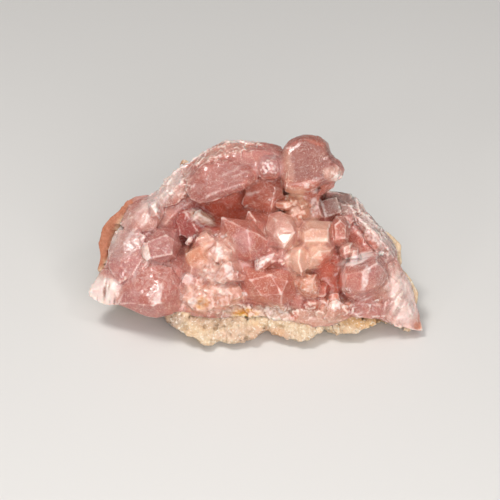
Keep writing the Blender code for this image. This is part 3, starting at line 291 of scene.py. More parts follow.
def outward(points, faces):
    """Unit normals of the points."""
    first, second, third, fourth = (points[faces[:, corner]] for corner in range(4))
    across = np.cross(third - first, fourth - second)
    total = np.zeros_like(points)
    for corner in range(4):
        for axis in range(3):
            total[:, axis] += np.bincount(faces[:, corner], across[:, axis], len(points))
    return total / np.maximum(np.linalg.norm(total, axis=1), 1e-12)[:, None]


def covered(points, normals, neighbour, reach):
    """True where a neighbouring body lies close in front of the surface and hides it."""
    return np.array([
        neighbour.ray_cast(point, normal, reach)[0] is not None
        for point, normal in zip(points.tolist(), normals.tolist())
    ])


HIDDEN_KEPT = 0.04  # share of the hidden faces that stays
HIDDEN_WEIGHT = 1000.0  # makes the modifier merge hidden faces and no others


def thinned(piece, hidden):
    """Merges nearly all the faces of a piece that its neighbour hides."""
    piece.vertex_groups.new(name="hidden").add(np.flatnonzero(hidden).tolist(), 1.0, "REPLACE")
    fewer = piece.modifiers.new("fewer", "DECIMATE")
    fewer.ratio = 1.0 - (1.0 - HIDDEN_KEPT) * hidden.mean()
    fewer.vertex_group = "hidden"
    fewer.vertex_group_factor = HIDDEN_WEIGHT
    state = bpy.context.evaluated_depsgraph_get()
    shape = piece.evaluated_get(state)
    mesh = bpy.data.meshes.new_from_object(shape, preserve_all_data_layers=True, depsgraph=state)
    piece.modifiers.clear()
    piece.vertex_groups.clear()
    piece.data = mesh


def add_piece(name, points, faces, node, fields, material):
    """A visible piece in place of a CAD node, with the fields that its material reads at each point."""
    mesh = bpy.data.meshes.new(name)
    mesh.from_pydata(placed(points, FACE), [], faces)
    mesh.shade_smooth()
    for label, values in fields.items():
        if values.ndim == 2:
            layer = mesh.attributes.new(label, "FLOAT_COLOR", "POINT")
            rgba = np.concatenate([values, np.ones((len(values), 1))], axis=1)
            layer.data.foreach_set("color", rgba.ravel())
        else:
            layer = mesh.attributes.new(label, "FLOAT", "POINT")
            layer.data.foreach_set("value", values)
    mesh.materials.append(material)
    piece = bpy.data.objects.new(name, mesh)
    bpy.context.scene.collection.objects.link(piece)
    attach(piece, "root")
    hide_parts(node)
    return piece


# ---- tints ----


def linear(red, green, blue):
    """A colour, 0 to 255, as the light values that shaders use."""
    share = np.array([red, green, blue]) / 255.0
    return np.where(share <= 0.04045, share / 12.92, ((share + 0.055) / 1.055) ** 2.4)


SHADES = {
    "rose": linear(192, 128, 118),
    "summit": linear(158, 100, 90),
    "dusky": linear(166, 104, 96),
    "mauve": linear(190, 134, 130),
    # This red is that of a chip and of some facets, and painted shade in the hollows.
    "deep": linear(208, 116, 94),
    "salmon": linear(192, 118, 100),
    "orange": linear(212, 150, 118),
    "peach": linear(228, 186, 164),
    "pale": linear(226, 188, 172),
    "lilac": linear(202, 150, 148),
    "blush": linear(222, 190, 178),
    "cream": linear(236, 214, 186),
    "grey": linear(172, 146, 138),
    "plum": linear(146, 94, 84),
    # This red is a chip's dark middle, and painted shade in a hollow.
    "wine_and_painted_shade": linear(164, 84, 78),
    "skin": linear(198, 132, 106),
    "chalcedony": linear(204, 172, 150),
    "amber": linear(220, 166, 80),
    "strip": linear(206, 162, 142),
    "slate": linear(156, 134, 120),
}

# Tints of the quartz: shade, strength, then the patch: u, v, half-widths, turn, lowest and highest w.
TINTS = [
    ("dusky", 0.8, -6.5, 11.5, 8.4, 4.2, 25.0),
    ("pale", 0.4, -6.5, 18.4, 10.5, 1.6, 18.0),
    ("pale", 0.4, -16.5, 11.5, 3.4, 3.6, 30.0),
    ("summit", 1.0, 10.5, 15.0, 6.0, 7.4),
    ("peach", 0.35, 6.4, 13.4, 1.4, 5.0),
    ("salmon", 0.8, 9.6, 10.0, 4.8, 1.7),
    ("salmon", 0.8, 12.4, 20.4, 3.0, 1.2, -20.0),
    ("pale", 0.7, 16.2, 13.0, 2.4, 1.6, -20.0),
    ("salmon", 0.8, 14.8, 10.4, 1.6, 0.9),
    ("lilac", 0.7, 3.0, 14.6, 3.0, 3.0),
    # Painted shade: a deeper red in the hollow under the roof, only well back in it.
    ("deep", 1.0, -3.0, 5.6, 9.0, 4.6, 5.0, -99.0, -3.0),
    # Painted shade: a dark red in the left hollow, only back in it.
    ("wine_and_painted_shade", 1.0, -13.0, 2.8, 4.6, 4.0, 0.0, -99.0, -1.5),
    ("chalcedony", 0.9, -10.9, 4.3, 2.6, 1.2, -30.0, -99.0, -2.0),
    ("salmon", 0.9, 2.0, 8.5, 5.0, 4.6),
    ("orange", 0.9, 8.6, 7.0, 3.4, 3.4),
    # Painted light: a paler patch on the orange where the hollow lies in shade.
    ("peach", 0.5, 8.2, 7.4, 2.6, 2.6),
    ("salmon", 0.9, 12.2, 9.0, 2.4, 1.6, 0.0, -99.0, 1.0),
    ("plum", 0.9, 16.2, 6.4, 2.6, 2.8),
    ("grey", 0.8, 19.5, 8.0, 4.4, 2.6, -10.0),
    ("grey", 0.8, 25.5, 1.5, 3.0, 8.0, 38.0),
    ("deep", 0.4, 22.0, -1.0, 3.6, 3.4),
    ("blush", 0.65, 29.6, -13.0, 5.0, 8.0, 10.0),
    ("rose", 0.8, 23.0, -13.8, 5.0, 3.2),
    ("orange", 0.4, 25.6, -10.0, 2.0, 3.0),
    ("skin", 0.9, 34.0, -18.4, 0.9, 1.0),
    ("slate", 1.0, -29.0, 2.0, 1.3, 5.0, -12.0),
    ("blush", 0.35, -21.5, 5.0, 4.6, 3.6, 30.0),
    ("grey", 0.4, -18.4, 10.4, 5.4, 2.6, 48.0),
    ("mauve", 0.8, -20.0, -1.4, 4.4, 4.0),
    ("dusky", 0.5, -19.6, -1.4, 3.6, 3.6),
    ("blush", 0.9, -22.6, -3.0, 1.0, 2.0, 20.0),
    ("rose", 0.8, -20.5, -11.0, 6.0, 5.0),
    ("mauve", 0.7, -25.4, -12.0, 2.4, 1.8, 30.0),
    ("blush", 0.85, -31.5, -10.5, 3.6, 4.0),
    ("mauve", 0.8, -27.0, -4.0, 3.6, 6.0, -20.0),
    ("grey", 0.4, -27.6, 0.5, 2.6, 6.0, -18.0),
    ("blush", 0.2, -27.6, 2.0, 2.6, 4.4, -20.0),
    ("dusky", 0.45, -25.4, -0.4, 2.4, 3.0),
    ("salmon", 0.7, -2.6, 0.4, 4.6, 4.6),
    ("lilac", 0.7, -2.6, -0.6, 2.4, 2.6),
    ("pale", 0.5, 5.6, 1.6, 3.4, 4.0),
    ("peach", 0.9, 12.4, 0.8, 3.6, 3.4),
    ("peach", 0.8, 13.0, -3.8, 3.0, 2.8),
    ("peach", 1.0, 8.8, -4.6, 2.8, 3.6),
    ("pale", 0.5, 8.0, -4.6, 1.8, 2.8),
    ("salmon", 0.7, 17.6, 1.2, 2.4, 3.2),
    ("pale", 0.6, 19.6, -3.0, 2.4, 2.2),
    ("mauve", 0.6, 22.4, -7.6, 5.0, 4.8),
    ("salmon", 0.5, 20.6, -8.6, 3.4, 3.0),
    # Painted shade: a deeper red in the hollow between the middle crystals and the boulder.
    ("deep", 0.9, 15.8, -7.6, 3.0, 5.0),
    ("salmon", 0.9, 2.4, -10.0, 6.0, 4.8, -10.0),
    ("orange", 0.8, 10.8, -9.6, 2.8, 2.8),
    ("orange", 0.8, -12.0, -3.6, 2.8, 2.8),
    ("peach", 0.6, -10.2, 0.0, 1.9, 1.9),
    ("pale", 0.7, -6.4, -2.6, 2.8, 3.4),
    ("pale", 0.7, -8.0, -7.0, 5.0, 2.4),
    ("pale", 0.6, -9.0, -12.0, 7.0, 4.0),
    ("orange", 0.4, -9.0, -12.6, 6.0, 3.0),
    ("amber", 0.6, -11.0, -13.4, 1.6, 1.4),
    ("orange", 0.5, 15.6, -14.0, 4.0, 2.2),
    ("chalcedony", 0.9, 1.0, -15.4, 9.0, 1.6),
    ("amber", 1.0, -2.2, -15.8, 2.8, 1.3),
    ("wine_and_painted_shade", 0.5, -0.8, -15.6, 0.9, 0.6),
    ("strip", 0.9, 12.4, -16.6, 7.6, 1.6),
    ("deep", 0.6, 8.0, -16.2, 0.9, 0.8),
]


TINT_SEEDS = (100, 101, 102)  # patches take them in turn, so that neighbours differ in their edges


def tinted(points, tints, ground):
    """Each point's colour: the ground shade with the patches laid over it in turn."""
    colour = np.tile(ground, (len(points), 1))
    ragged = itertools.cycle([rugged(points, RAGGED_SIZE, seed) for seed in TINT_SEEDS])
    for shade, strength, *place in tints:
        share = strength * patch(points, next(ragged), *place)[:, None]
        colour = colour + share * (SHADES[shade] - colour)
    return colour


# ---- materials ----


def nodes_of(name):
    """A new material, its node tree and its surface shader."""
    material = bpy.data.materials.new(name)
    material.use_nodes = True
    tree = material.node_tree
    return material, tree, tree.nodes["Principled BSDF"]


def link(tree, source, target):
    tree.links.new(source, target)


def attribute(tree, name, socket="Fac"):
    """A field of the piece, as add_piece stores it."""
    node = tree.nodes.new("ShaderNodeAttribute")
    node.attribute_name = name
    return node.outputs[socket]


def noise_node(tree, size, detail, rough=0.6, distort=0.0):
    """Noise whose lumps are about size millimetres across."""
    node = tree.nodes.new("ShaderNodeTexNoise")
    node.inputs["Scale"].default_value = 1.0 / (size * MM)
    node.inputs["Detail"].default_value = detail
    node.inputs["Roughness"].default_value = rough
    node.inputs["Distortion"].default_value = distort
    place = tree.nodes.new("ShaderNodeTexCoord")
    link(tree, place.outputs["Object"], node.inputs["Vector"])
    return node.outputs["Fac"]


def between(tree, value, from_low, from_high, to_low, to_high):
    """A value carried from one range to another, and kept inside it."""
    node = tree.nodes.new("ShaderNodeMapRange")
    node.inputs["From Min"].default_value = from_low
    node.inputs["From Max"].default_value = from_high
    node.inputs["To Min"].default_value = to_low
    node.inputs["To Max"].default_value = to_high
    link(tree, value, node.inputs["Value"])
    return node.outputs["Result"]


def math_node(tree, operation, first, second):
    """Two values combined; a value is a socket or a number."""
    node = tree.nodes.new("ShaderNodeMath")
    node.operation = operation
    for socket, value in zip(node.inputs, (first, second)):
        if isinstance(value, (int, float)):
            socket.default_value = value
        else:
            link(tree, value, socket)
    return node.outputs[0]


def mixed(tree, share, first, second, blend="MIX"):
    """Two colours mixed; a colour is a socket or three numbers."""
    node = tree.nodes.new("ShaderNodeMix")
    node.data_type = "RGBA"
    node.blend_type = blend
    if isinstance(share, float):
        node.inputs["Factor"].default_value = share
    else:
        link(tree, share, node.inputs["Factor"])
    for socket, value in ((node.inputs["A"], first), (node.inputs["B"], second)):
        if isinstance(value, bpy.types.NodeSocket):
            link(tree, value, socket)
        else:
            socket.default_value = (*value, 1.0)
    return node.outputs["Result"]


def product(tree, first, second):
    return math_node(tree, "MULTIPLY", first, second)


def bumped(tree, height, strength, depth, under=None):
    """A normal that follows a height, depth millimetres deep, on top of another normal or of the mesh's own."""
    node = tree.nodes.new("ShaderNodeBump")
    node.inputs["Strength"].default_value = strength
    node.inputs["Distance"].default_value = depth * MM
    link(tree, height, node.inputs["Height"])
    if under is not None:
        link(tree, under, node.inputs["Normal"])
    return node.outputs["Normal"]


def chip_colours(tree, size):
    """A random colour for each cell about size millimetres across, as where stone breaks into chips."""
    node = tree.nodes.new("ShaderNodeTexVoronoi")
    node.inputs["Scale"].default_value = 1.0 / (size * MM)
    place = tree.nodes.new("ShaderNodeTexCoord")
    link(tree, place.outputs["Object"], node.inputs["Vector"])
    return node.outputs["Color"]


def vector_node(tree, operation, first, second):
    """Two vectors combined; the second may be three numbers."""
    node = tree.nodes.new("ShaderNodeVectorMath")
    node.operation = operation
    link(tree, first, node.inputs[0])
    if isinstance(second, bpy.types.NodeSocket):
        link(tree, second, node.inputs[1])
    else:
        node.inputs[1].default_value = second
    return node


def leaning(tree, normal, size, amount):
    """The normal, leaning a different way on each small chip, so that single chips catch the light."""
    centred = vector_node(tree, "SUBTRACT", chip_colours(tree, size), (0.5, 0.5, 0.5))
    scaled = tree.nodes.new("ShaderNodeVectorMath")
    scaled.operation = "SCALE"
    link(tree, centred.outputs[0], scaled.inputs[0])
    link(tree, amount, scaled.inputs["Scale"])
    total = vector_node(tree, "ADD", normal, scaled.outputs[0])
    unit = tree.nodes.new("ShaderNodeVectorMath")
    unit.operation = "NORMALIZE"
    link(tree, total.outputs[0], unit.inputs[0])
    return unit.outputs[0]


def threads(tree, size, thin, distort):
    """Thin winding lines, as healed cracks in clear stone make: 1 on a line, 0 off it."""
    value = noise_node(tree, size, 3.0, 0.55, distort)
    off = math_node(tree, "ABSOLUTE", math_node(tree, "SUBTRACT", value, 0.5), 0.0)
    return between(tree, off, 0.0, thin, 1.0, 0.0)


# Light values that the quartz mixes with its tint.
HEALED = (1.0, 0.87, 0.76)
# Colour of the painted highlight along crystal edges.
EDGE_PAINTED_HIGHLIGHT = (1.0, 0.93, 0.87)
FROST_AND_GLINT_WHITE = (0.92, 0.83, 0.80)
CLOUD_SHADE = (0.82, 0.70, 0.70)

QUARTZ_IOR = 1.54
SCATTER_SHARE = 0.85
SCATTER_RADIUS = (1.0, 0.45, 0.35)
SCATTER_MM = 1.3
HEALED_CRACKS = ((3.4, 0.01, 1.5, 0.6), (1.4, 0.018, 2.0, 0.5))  # size, thinness, winding and strength


def quartz_colour(tree, rough):
    """The tint, with painted shade in creases and hollows, and what lies in and on the stone: clouds, veils, healed
    cracks, flecks painted as glints, painted highlights on edges, and frosted parts with painted glints.
    """
    tint = attribute(tree, "tint", "Color")
    light = mixed(tree, 0.6, tint, HEALED)
    cloud = between(tree, noise_node(tree, 3.0, 4.0, 0.6, 0.6), 0.35, 0.65, 0.0, 1.0)
    colour = mixed(tree, cloud, mixed(tree, 1.0, tint, CLOUD_SHADE, "MULTIPLY"), tint)
    veil = between(tree, noise_node(tree, 0.9, 4.0, 0.7, 1.5), 0.58, 0.78, 0.0, 0.45)
    colour = mixed(tree, veil, colour, light)
    for size, thin, distort, strength in HEALED_CRACKS:
        colour = mixed(tree, product(tree, threads(tree, size, thin, distort), strength), colour, light)
    # Painted glints: small pale flecks where the stone is not polished.
    painted_glint_fleck = between(tree, chip_colours(tree, 0.4), 0.86, 0.9, 0.0, 0.3)
    glint_fleck_spread = between(tree, noise_node(tree, 5.0, 2.0), 0.45, 0.62, 0.0, 1.0)
    colour = mixed(tree, product(tree, painted_glint_fleck, product(tree, glint_fleck_spread, rough)), colour, light)
    # Painted highlight: edges that stand out are lightened.
    colour = mixed(tree, attribute(tree, "edge"), colour, mixed(tree, 0.7, tint, EDGE_PAINTED_HIGHLIGHT))
    # Frosted parts and the painted glints laid with them turn the colour white.
    return mixed(tree, product(tree, attribute(tree, "frost_and_painted_glints"), 0.8), colour, FROST_AND_GLINT_WHITE)


def quartz_roughness(tree, rough):
    """Glossy in some places and silky in others, duller where frosted and where glints are painted, and nearly a
    mirror on polished faces.
    """
    gloss = between(tree, noise_node(tree, 1.4, 3.0), 0.3, 0.7, 0.02, 0.18)
    gloss = math_node(tree, "ADD", gloss, product(tree, attribute(tree, "frost_and_painted_glints"), 0.3))
    return math_node(tree, "ADD", product(tree, gloss, rough), 0.03)


def quartz_normal(tree, rough):
    """Fine and coarse unevenness, and chips that lean where it glitters."""
    fine = bumped(tree, product(tree, noise_node(tree, 0.35, 3.0), rough), 0.25, 0.05)
    coarse = bumped(tree, product(tree, noise_node(tree, 1.3, 2.0), rough), 0.35, 0.16, fine)
    return leaning(tree, coarse, 0.55, product(tree, attribute(tree, "glitter"), 0.6))


def quartz():
    material, tree, surface = nodes_of("pink_quartz")
    rough = math_node(tree, "SUBTRACT", 1.0, attribute(tree, "polish"))
    link(tree, quartz_colour(tree, rough), surface.inputs["Base Color"])
    link(tree, quartz_roughness(tree, rough), surface.inputs["Roughness"])
    link(tree, quartz_normal(tree, rough), surface.inputs["Normal"])
    surface.inputs["IOR"].default_value = QUARTZ_IOR
    surface.inputs["Subsurface Weight"].default_value = SCATTER_SHARE
    surface.inputs["Subsurface Radius"].default_value = SCATTER_RADIUS
    surface.inputs["Subsurface Scale"].default_value = SCATTER_MM * MM
    return material


# Light values that the rock mixes or multiplies with its tint.
GRAIN_SHADE = (0.74, 0.64, 0.54)
STAIN_SHADE = (0.94, 0.76, 0.58)
PALE_GRAIN = (0.92, 0.86, 0.76)
# Painted shade in the pits.
PIT_PAINTED_SHADE = (0.42, 0.27, 0.16)


def rock_colour(tree):
    """The tint with grain, stains and, where the rock is bare of skin, pale flecks; the pits get a painted shade."""
    tint = attribute(tree, "tint", "Color")
    bare = math_node(tree, "SUBTRACT", 1.0, attribute(tree, "skin"))
    grain = between(tree, noise_node(tree, 0.8, 5.0, 0.75), 0.38, 0.62, 0.0, 1.0)
    colour = mixed(tree, grain, mixed(tree, 1.0, tint, GRAIN_SHADE, "MULTIPLY"), tint)
    stain = between(tree, noise_node(tree, 5.0, 3.0, 0.6, 0.5), 0.5, 0.7, 0.0, 0.5)
    colour = mixed(tree, stain, colour, mixed(tree, 1.0, tint, STAIN_SHADE, "MULTIPLY"))
    flecks = between(tree, noise_node(tree, 0.5, 2.0), 0.56, 0.66, 0.0, 0.8)
    colour = mixed(tree, product(tree, flecks, bare), colour, PALE_GRAIN)
    return mixed(tree, attribute(tree, "pit_painted_shade"), colour, PIT_PAINTED_SHADE)


def rock():
    material, tree, surface = nodes_of("cream_rock")
    link(tree, rock_colour(tree), surface.inputs["Base Color"])
    link(tree, bumped(tree, noise_node(tree, 0.5, 5.0, 0.8), 1.0, 0.3), surface.inputs["Normal"])
    surface.inputs["Roughness"].default_value = 0.85
    surface.inputs["Subsurface Weight"].default_value = 0.15
    surface.inputs["Subsurface Radius"].default_value = (1.0, 0.6, 0.4)
    surface.inputs["Subsurface Scale"].default_value = 0.6 * MM
    return material


# ---- small quartz points ----

RHOMB_TILT_DEG = 51.8  # angle between quartz's long axis and the normal of a tip face
FIRST_SIDE_DEG = 30.0  # where the first tip face looks, round the long axis
PRISM_LENGTH = 3.0
PRISM_TOP = 1.0  # above the tip, so that only the tip faces cut it


def cleave(bm, point, normal):
    """Cuts a convex solid to the side of a plane that its normal points away from."""
    everything = bm.verts[:] + bm.edges[:] + bm.faces[:]
    made = bmesh.ops.bisect_plane(bm, geom=everything, plane_co=point, plane_no=normal, clear_outer=True)
    rim = [g for g in made["geom_cut"] if isinstance(g, bmesh.types.BMEdge)]
    if rim:
        bmesh.ops.contextual_create(bm, geom=rim)


def tip_face(round_deg):
    """The normal of a tip face that looks that way round the long axis."""
    tilt = math.radians(RHOMB_TILT_DEG)
    turn = math.radians(round_deg)
    return Vector((math.sin(tilt) * math.cos(turn), math.sin(tilt) * math.sin(turn), math.cos(tilt)))


def point_shape(minor):
    """A quartz point 1 wide, tip at the origin, long axis on +Z: a prism cut by three large and three small planes.

    The small ones would meet as high above the tip as the number says.
    """
    bm = bmesh.new()
    reach = 1.0 / math.sqrt(3.0)
    bmesh.ops.create_cone(bm, cap_ends=True, segments=6, radius1=reach, radius2=reach, depth=PRISM_LENGTH)
    bmesh.ops.translate(bm, vec=(0.0, 0.0, PRISM_TOP - PRISM_LENGTH / 2.0), verts=bm.verts)
    for side in range(6):
        cleave(bm, Vector((0.0, 0.0, minor if side % 2 else 0.0)), tip_face(60.0 * side + FIRST_SIDE_DEG))
    bmesh.ops.dissolve_degenerate(bm, dist=0.01, edges=bm.edges)
    bmesh.ops.recalc_face_normals(bm, faces=bm.faces)
    points = np.array([v.co[:] for v in bm.verts])
    faces = [[v.index for v in f.verts] for f in bm.faces]
    bm.free()
    return points, faces


POINT_SHAPES = [point_shape(minor) for minor in (0.08, 0.2, 0.35, 0.5)]

# Patches of points: number, width, share of the width that stands out, then u, v, half-widths and turn.
POINT_PATCHES = [
    (20, 2.5, 0.6, -9.6, -12.4, 6.0, 3.2),
    (6, 2.2, 0.7, -7.0, -2.6, 2.2, 2.4),
    (4, 1.3, 0.7, -6.2, -0.2, 1.6, 1.0),
    (8, 1.9, 0.6, -8.6, -7.6, 4.4, 1.6),
    (9, 2.0, 0.6, 16.2, -14.0, 3.4, 1.8),
    (8, 1.4, 0.8, 8.6, 7.0, 3.0, 2.8),
    (4, 1.5, 0.7, 3.4, -5.6, 2.6, 1.0, 20.0),
    (4, 2.3, 0.7, 17.4, -3.4, 1.2, 1.2),
    (8, 1.4, 0.5, 3.2, 14.6, 2.4, 2.4),
]


POINT_SEED = 5
SIZE_RANGE = (0.45, 1.25)  # widths, as shares of the patch's width
LEAN_MOST = 0.5
FORWARD = Vector((0.0, 0.1, 0.5))  # added to the ground's normal, as the points grow towards the opening
STEEPEST = 0.2  # least w of the ground's normal where a point grows


def point_places(chance, ground, count, width, stand, u, v, half_u, half_v, turn=0.0):
    """Tip, turn, width and shape of each point of a patch, on the surface that shows in front."""
    angle = math.radians(turn)
    for _ in range(count):
        round_about = chance.uniform(0.0, math.tau)
        out = math.sqrt(chance.uniform(0.0, 1.0))
        along, over = half_u * out * math.cos(round_about), half_v * out * math.sin(round_about)
        across = u + along * math.cos(angle) - over * math.sin(angle)
        up = v + along * math.sin(angle) + over * math.cos(angle)
        lean = Vector(chance.uniform(-LEAN_MOST, LEAN_MOST, 3))
        size = width * chance.uniform(*SIZE_RANGE)
        spin = Matrix.Rotation(math.radians(chance.uniform(0.0, 120.0)), 3, "Z")
        shape = int(chance.integers(len(POINT_SHAPES)))
        hit, normal, _, _ = ground.ray_cast(Vector((across, up, FRONT)), BACKWARD)
        if hit is None or normal.z < STEEPEST:
            continue
        axis = (normal + FORWARD + lean).normalized()
        yield hit + axis * size * stand, axis.to_track_quat("Z", "Y").to_matrix() @ spin, size, shape


# Points of quartz that turn one large face to the viewer: u and v of the middle of that face, its height above the
# ground, the width of the point, the number of its shape, the way that the face looks and the way to its tip.
FACED_POINTS = [
    (-14.6, 11.7, 0.4, 2.4, 3, (-0.2, 0.3, 1.0), (0.5, 1.0, 0.0)),
    (6.0, 9.3, 0.8, 2.6, 2, (0.1, -0.3, 1.0), (-0.2, -1.0, 0.0)),
    (-12.0, -3.6, 0.2, 5.2, 3, (-0.25, 0.05, 1.0), (0.4, 1.0, 0.0)),
    (-10.2, 0.1, 0.1, 3.8, 1, (0.0, 0.2, 1.0), (0.2, 1.0, 0.0)),
    (12.4, 9.3, 5.6, 4.6, 2, (-0.2, -0.2, 1.0), (0.1, -1.0, 0.0)),
    (19.6, 3.4, 3.0, 2.6, 2, (-0.2, 0.1, 1.0), (0.2, 1.0, 0.0)),
    (16.1, 6.7, 0.9, 5.2, 2, (-0.15, 0.2, 1.0), (0.5, 1.0, 0.0)),
    (-13.4, -0.2, 0.9, 1.1, 0, (0.3, 0.3, 1.0), (0.7, 1.0, 0.0)),
    (-14.0, -8.4, 0.5, 2.6, 1, (-0.1, 0.1, 1.0), (-0.2, 1.0, 0.0)),
    (-12.6, -13.0, 0.5, 2.6, 0, (0.2, -0.1, 1.0), (-0.8, 1.0, 0.0)),
    (-9.4, -12.6, 0.4, 2.8, 2, (-0.2, -0.2, 1.0), (0.4, 1.0, 0.0)),
    (-6.6, -11.0, 0.5, 2.6, 1, (0.2, 0.2, 1.0), (0.2, -1.0, 0.0)),
    (-5.4, -5.6, 0.4, 2.6, 0, (0.3, 0.2, 1.0), (0.5, 1.0, 0.0)),
    (16.6, -13.6, 0.4, 2.6, 0, (0.2, 0.1, 1.0), (0.3, 1.0, 0.0)),
]


FACE_TO_TIP = 0.4  # from the middle of a large face to the tip, as a share of the point's width


def faced(normal, tip_way):
    """The turn that makes the first large face of a quartz point look along the normal, and the way up that face."""
    own = tip_face(FIRST_SIDE_DEG)
    own_up = (Vector((0.0, 0.0, 1.0)) - own * math.cos(math.radians(RHOMB_TILT_DEG))).normalized()
    up = (tip_way - normal * tip_way.dot(normal)).normalized()
    own_axes = Matrix((own, own_up, own.cross(own_up)))
    return Matrix((normal, up, normal.cross(up))).transposed() @ own_axes, up


def faced_places(ground):
    """Tip, turn, width and shape of each point of the list above."""
    for u, v, rise, width, shape, look, tip_way in FACED_POINTS:
        hit = ground.ray_cast(Vector((u, v, FRONT)), BACKWARD)[0]
        normal = Vector(look).normalized()
        turn, up = faced(normal, Vector(tip_way))
        yield hit + normal * rise + up * FACE_TO_TIP * width, turn, width, shape


def small_points(ground):
    """All the small points as one mesh."""
    chance = np.random.default_rng(POINT_SEED)
    places = list(faced_places(ground))
    for place in POINT_PATCHES:
        places.extend(point_places(chance, ground, *place))
    meshes = []
    for tip, turn, size, shape in places:
        points, faces = POINT_SHAPES[shape]
        meshes.append((size * points @ np.array(turn).T + np.array(tip), faces))
    return joined(*meshes)


# ---- the quartz ----

# Each table below gives a strength, then the patch as for tints.

# Where the quartz is broken into chips.
BROKEN = [
    (1.0, -6.5, 18.4, 11.0, 2.4, 18.0),
    (1.0, -17.0, 11.0, 4.0, 4.0, 30.0),
    (0.2, -21.5, -5.5, 7.0, 10.0),
    (0.3, -27.5, -2.5, 4.0, 9.0, -20.0),
    (0.9, 24.5, 2.0, 4.0, 9.0, 38.0),
    (0.6, 29.0, -13.0, 6.0, 7.0),
    (0.5, 3.0, 14.6, 2.6, 2.6),
    (1.0, 3.0, -15.4, 12.0, 1.8),
    (0.5, 15.6, 14.0, 2.6, 4.0, -20.0),
    (0.6, 22.0, -14.0, 5.0, 2.6),
    (0.3, 13.0, -16.8, 6.0, 1.2),
    (0.4, -32.0, -11.0, 3.0, 3.4),
]

# Where its edges are worn a little.
WORN = [
    (1.0, -6.0, 12.4, 9.0, 4.6, 22.0),
    (0.8, 10.8, 15.0, 5.6, 6.4),
    (0.9, 28.0, -13.0, 6.0, 7.0),
    (0.8, 0.0, -16.0, 18.0, 2.4),
    (0.3, -29.0, -9.0, 5.0, 5.0),
    (0.5, -8.6, -10.6, 7.0, 5.0),
    (0.4, -6.8, -2.6, 3.0, 3.0),
    (0.4, 16.2, -13.8, 4.0, 2.4),
]

# Where it is quite rounded.
ROUNDED = [
    (0.8, 10.8, 15.0, 6.6, 7.4),
    (0.6, 21.0, -9.0, 4.4, 4.4),
    (0.7, -10.2, 0.1, 1.9, 1.9),
    (0.6, -12.0, -3.6, 2.8, 2.8),
    (0.35, 9.5, -1.5, 8.0, 6.0),
    (0.4, -3.0, -1.0, 4.0, 5.0),
    (0.5, 10.8, -10.0, 2.6, 2.6),
    (0.5, 30.0, -12.0, 4.0, 6.0),
]

# Where it is frosted white; two rims get a painted highlight.
FROSTED = [
    (0.8, -12.5, 17.6, 6.4, 1.1, 34.0),
    (0.8, -3.0, 20.5, 6.4, 0.8),
    (0.2, -17.6, 11.0, 3.0, 3.0, 30.0),
    (0.5, -18.8, 10.2, 6.4, 2.0, 45.0),
    (0.1, -28.0, 0.5, 1.4, 6.0, -18.0),
    (0.2, -25.6, -0.6, 2.0, 2.6),
    (0.75, -31.8, -11.0, 3.4, 3.0),
    (0.2, -22.0, 6.0, 4.0, 2.2, 30.0),
    (0.55, 30.8, -12.4, 2.8, 5.6, 10.0),
    (0.2, 25.5, 1.5, 2.0, 6.0, 38.0),
    (0.4, 21.6, 8.2, 2.6, 0.8, -30.0),
    # A painted highlight along the lower rim of the roof slab.
    (0.7, -6.4, 7.6, 7.0, 0.7, 16.0, -5.0),
    # Frosted, with a painted highlight, along the boulder's upper-left rim.
    (0.9, 21.0, -4.3, 4.0, 0.9, 20.0),
    (0.5, 22.4, -8.0, 0.7, 2.8, -8.0),
    (0.4, -14.0, -8.4, 1.2, 1.2),
    (0.5, -12.8, -13.2, 1.2, 1.0),
    (0.3, -6.4, -10.6, 1.2, 1.0),
    (0.5, 16.6, -13.6, 1.2, 1.0),
    (0.5, 18.2, -7.6, 0.5, 3.0),
    (0.4, 17.0, 12.4, 1.0, 0.8),
]

# Where small chips sparkle: their normals lean, and half of them are painted white as glints.
SPARKLING = [
    # Sparkle with a painted highlight along the boulder's upper-left rim.
    (0.3, 21.4, -4.7, 3.6, 1.0, 18.0),
    (0.4, 22.8, -8.0, 0.8, 2.8, -8.0),
    (0.7, 3.1, 15.0, 0.9, 0.6, 30.0),
    (0.5, 16.6, 12.6, 1.6, 1.0, -20.0),
    (0.8, 21.3, 3.5, 1.0, 0.7, -35.0),
    (0.8, 23.7, 1.6, 0.9, 0.6, -35.0),
    (0.7, 26.8, -2.5, 0.8, 0.6, -35.0),
    (0.25, 24.4, 2.0, 3.0, 7.0, 38.0),
    (0.6, 4.2, -15.0, 3.2, 0.9),
    (0.7, -7.8, 0.4, 1.6, 0.8),
    (0.3, -9.6, -12.4, 5.6, 2.8),
    (0.3, -9.4, -8.0, 4.6, 1.2),
    (0.6, 16.6, -13.6, 2.6, 1.6),
    (0.7, 18.6, -11.0, 0.9, 0.8),
    (0.5, 11.6, 10.2, 2.0, 0.7, -20.0),
    (0.4, -11.0, 17.8, 7.0, 1.0, 33.0),
    (0.2, -21.0, -8.0, 6.0, 4.0),
    (0.3, 11.0, -10.0, 2.6, 2.4),
]

# Flat faces that mirror the light: corners (u, v), anticlockwise.
POLISHED = [
    [(4.2, 0.6), (6.0, -2.0), (8.3, 1.2)],
]

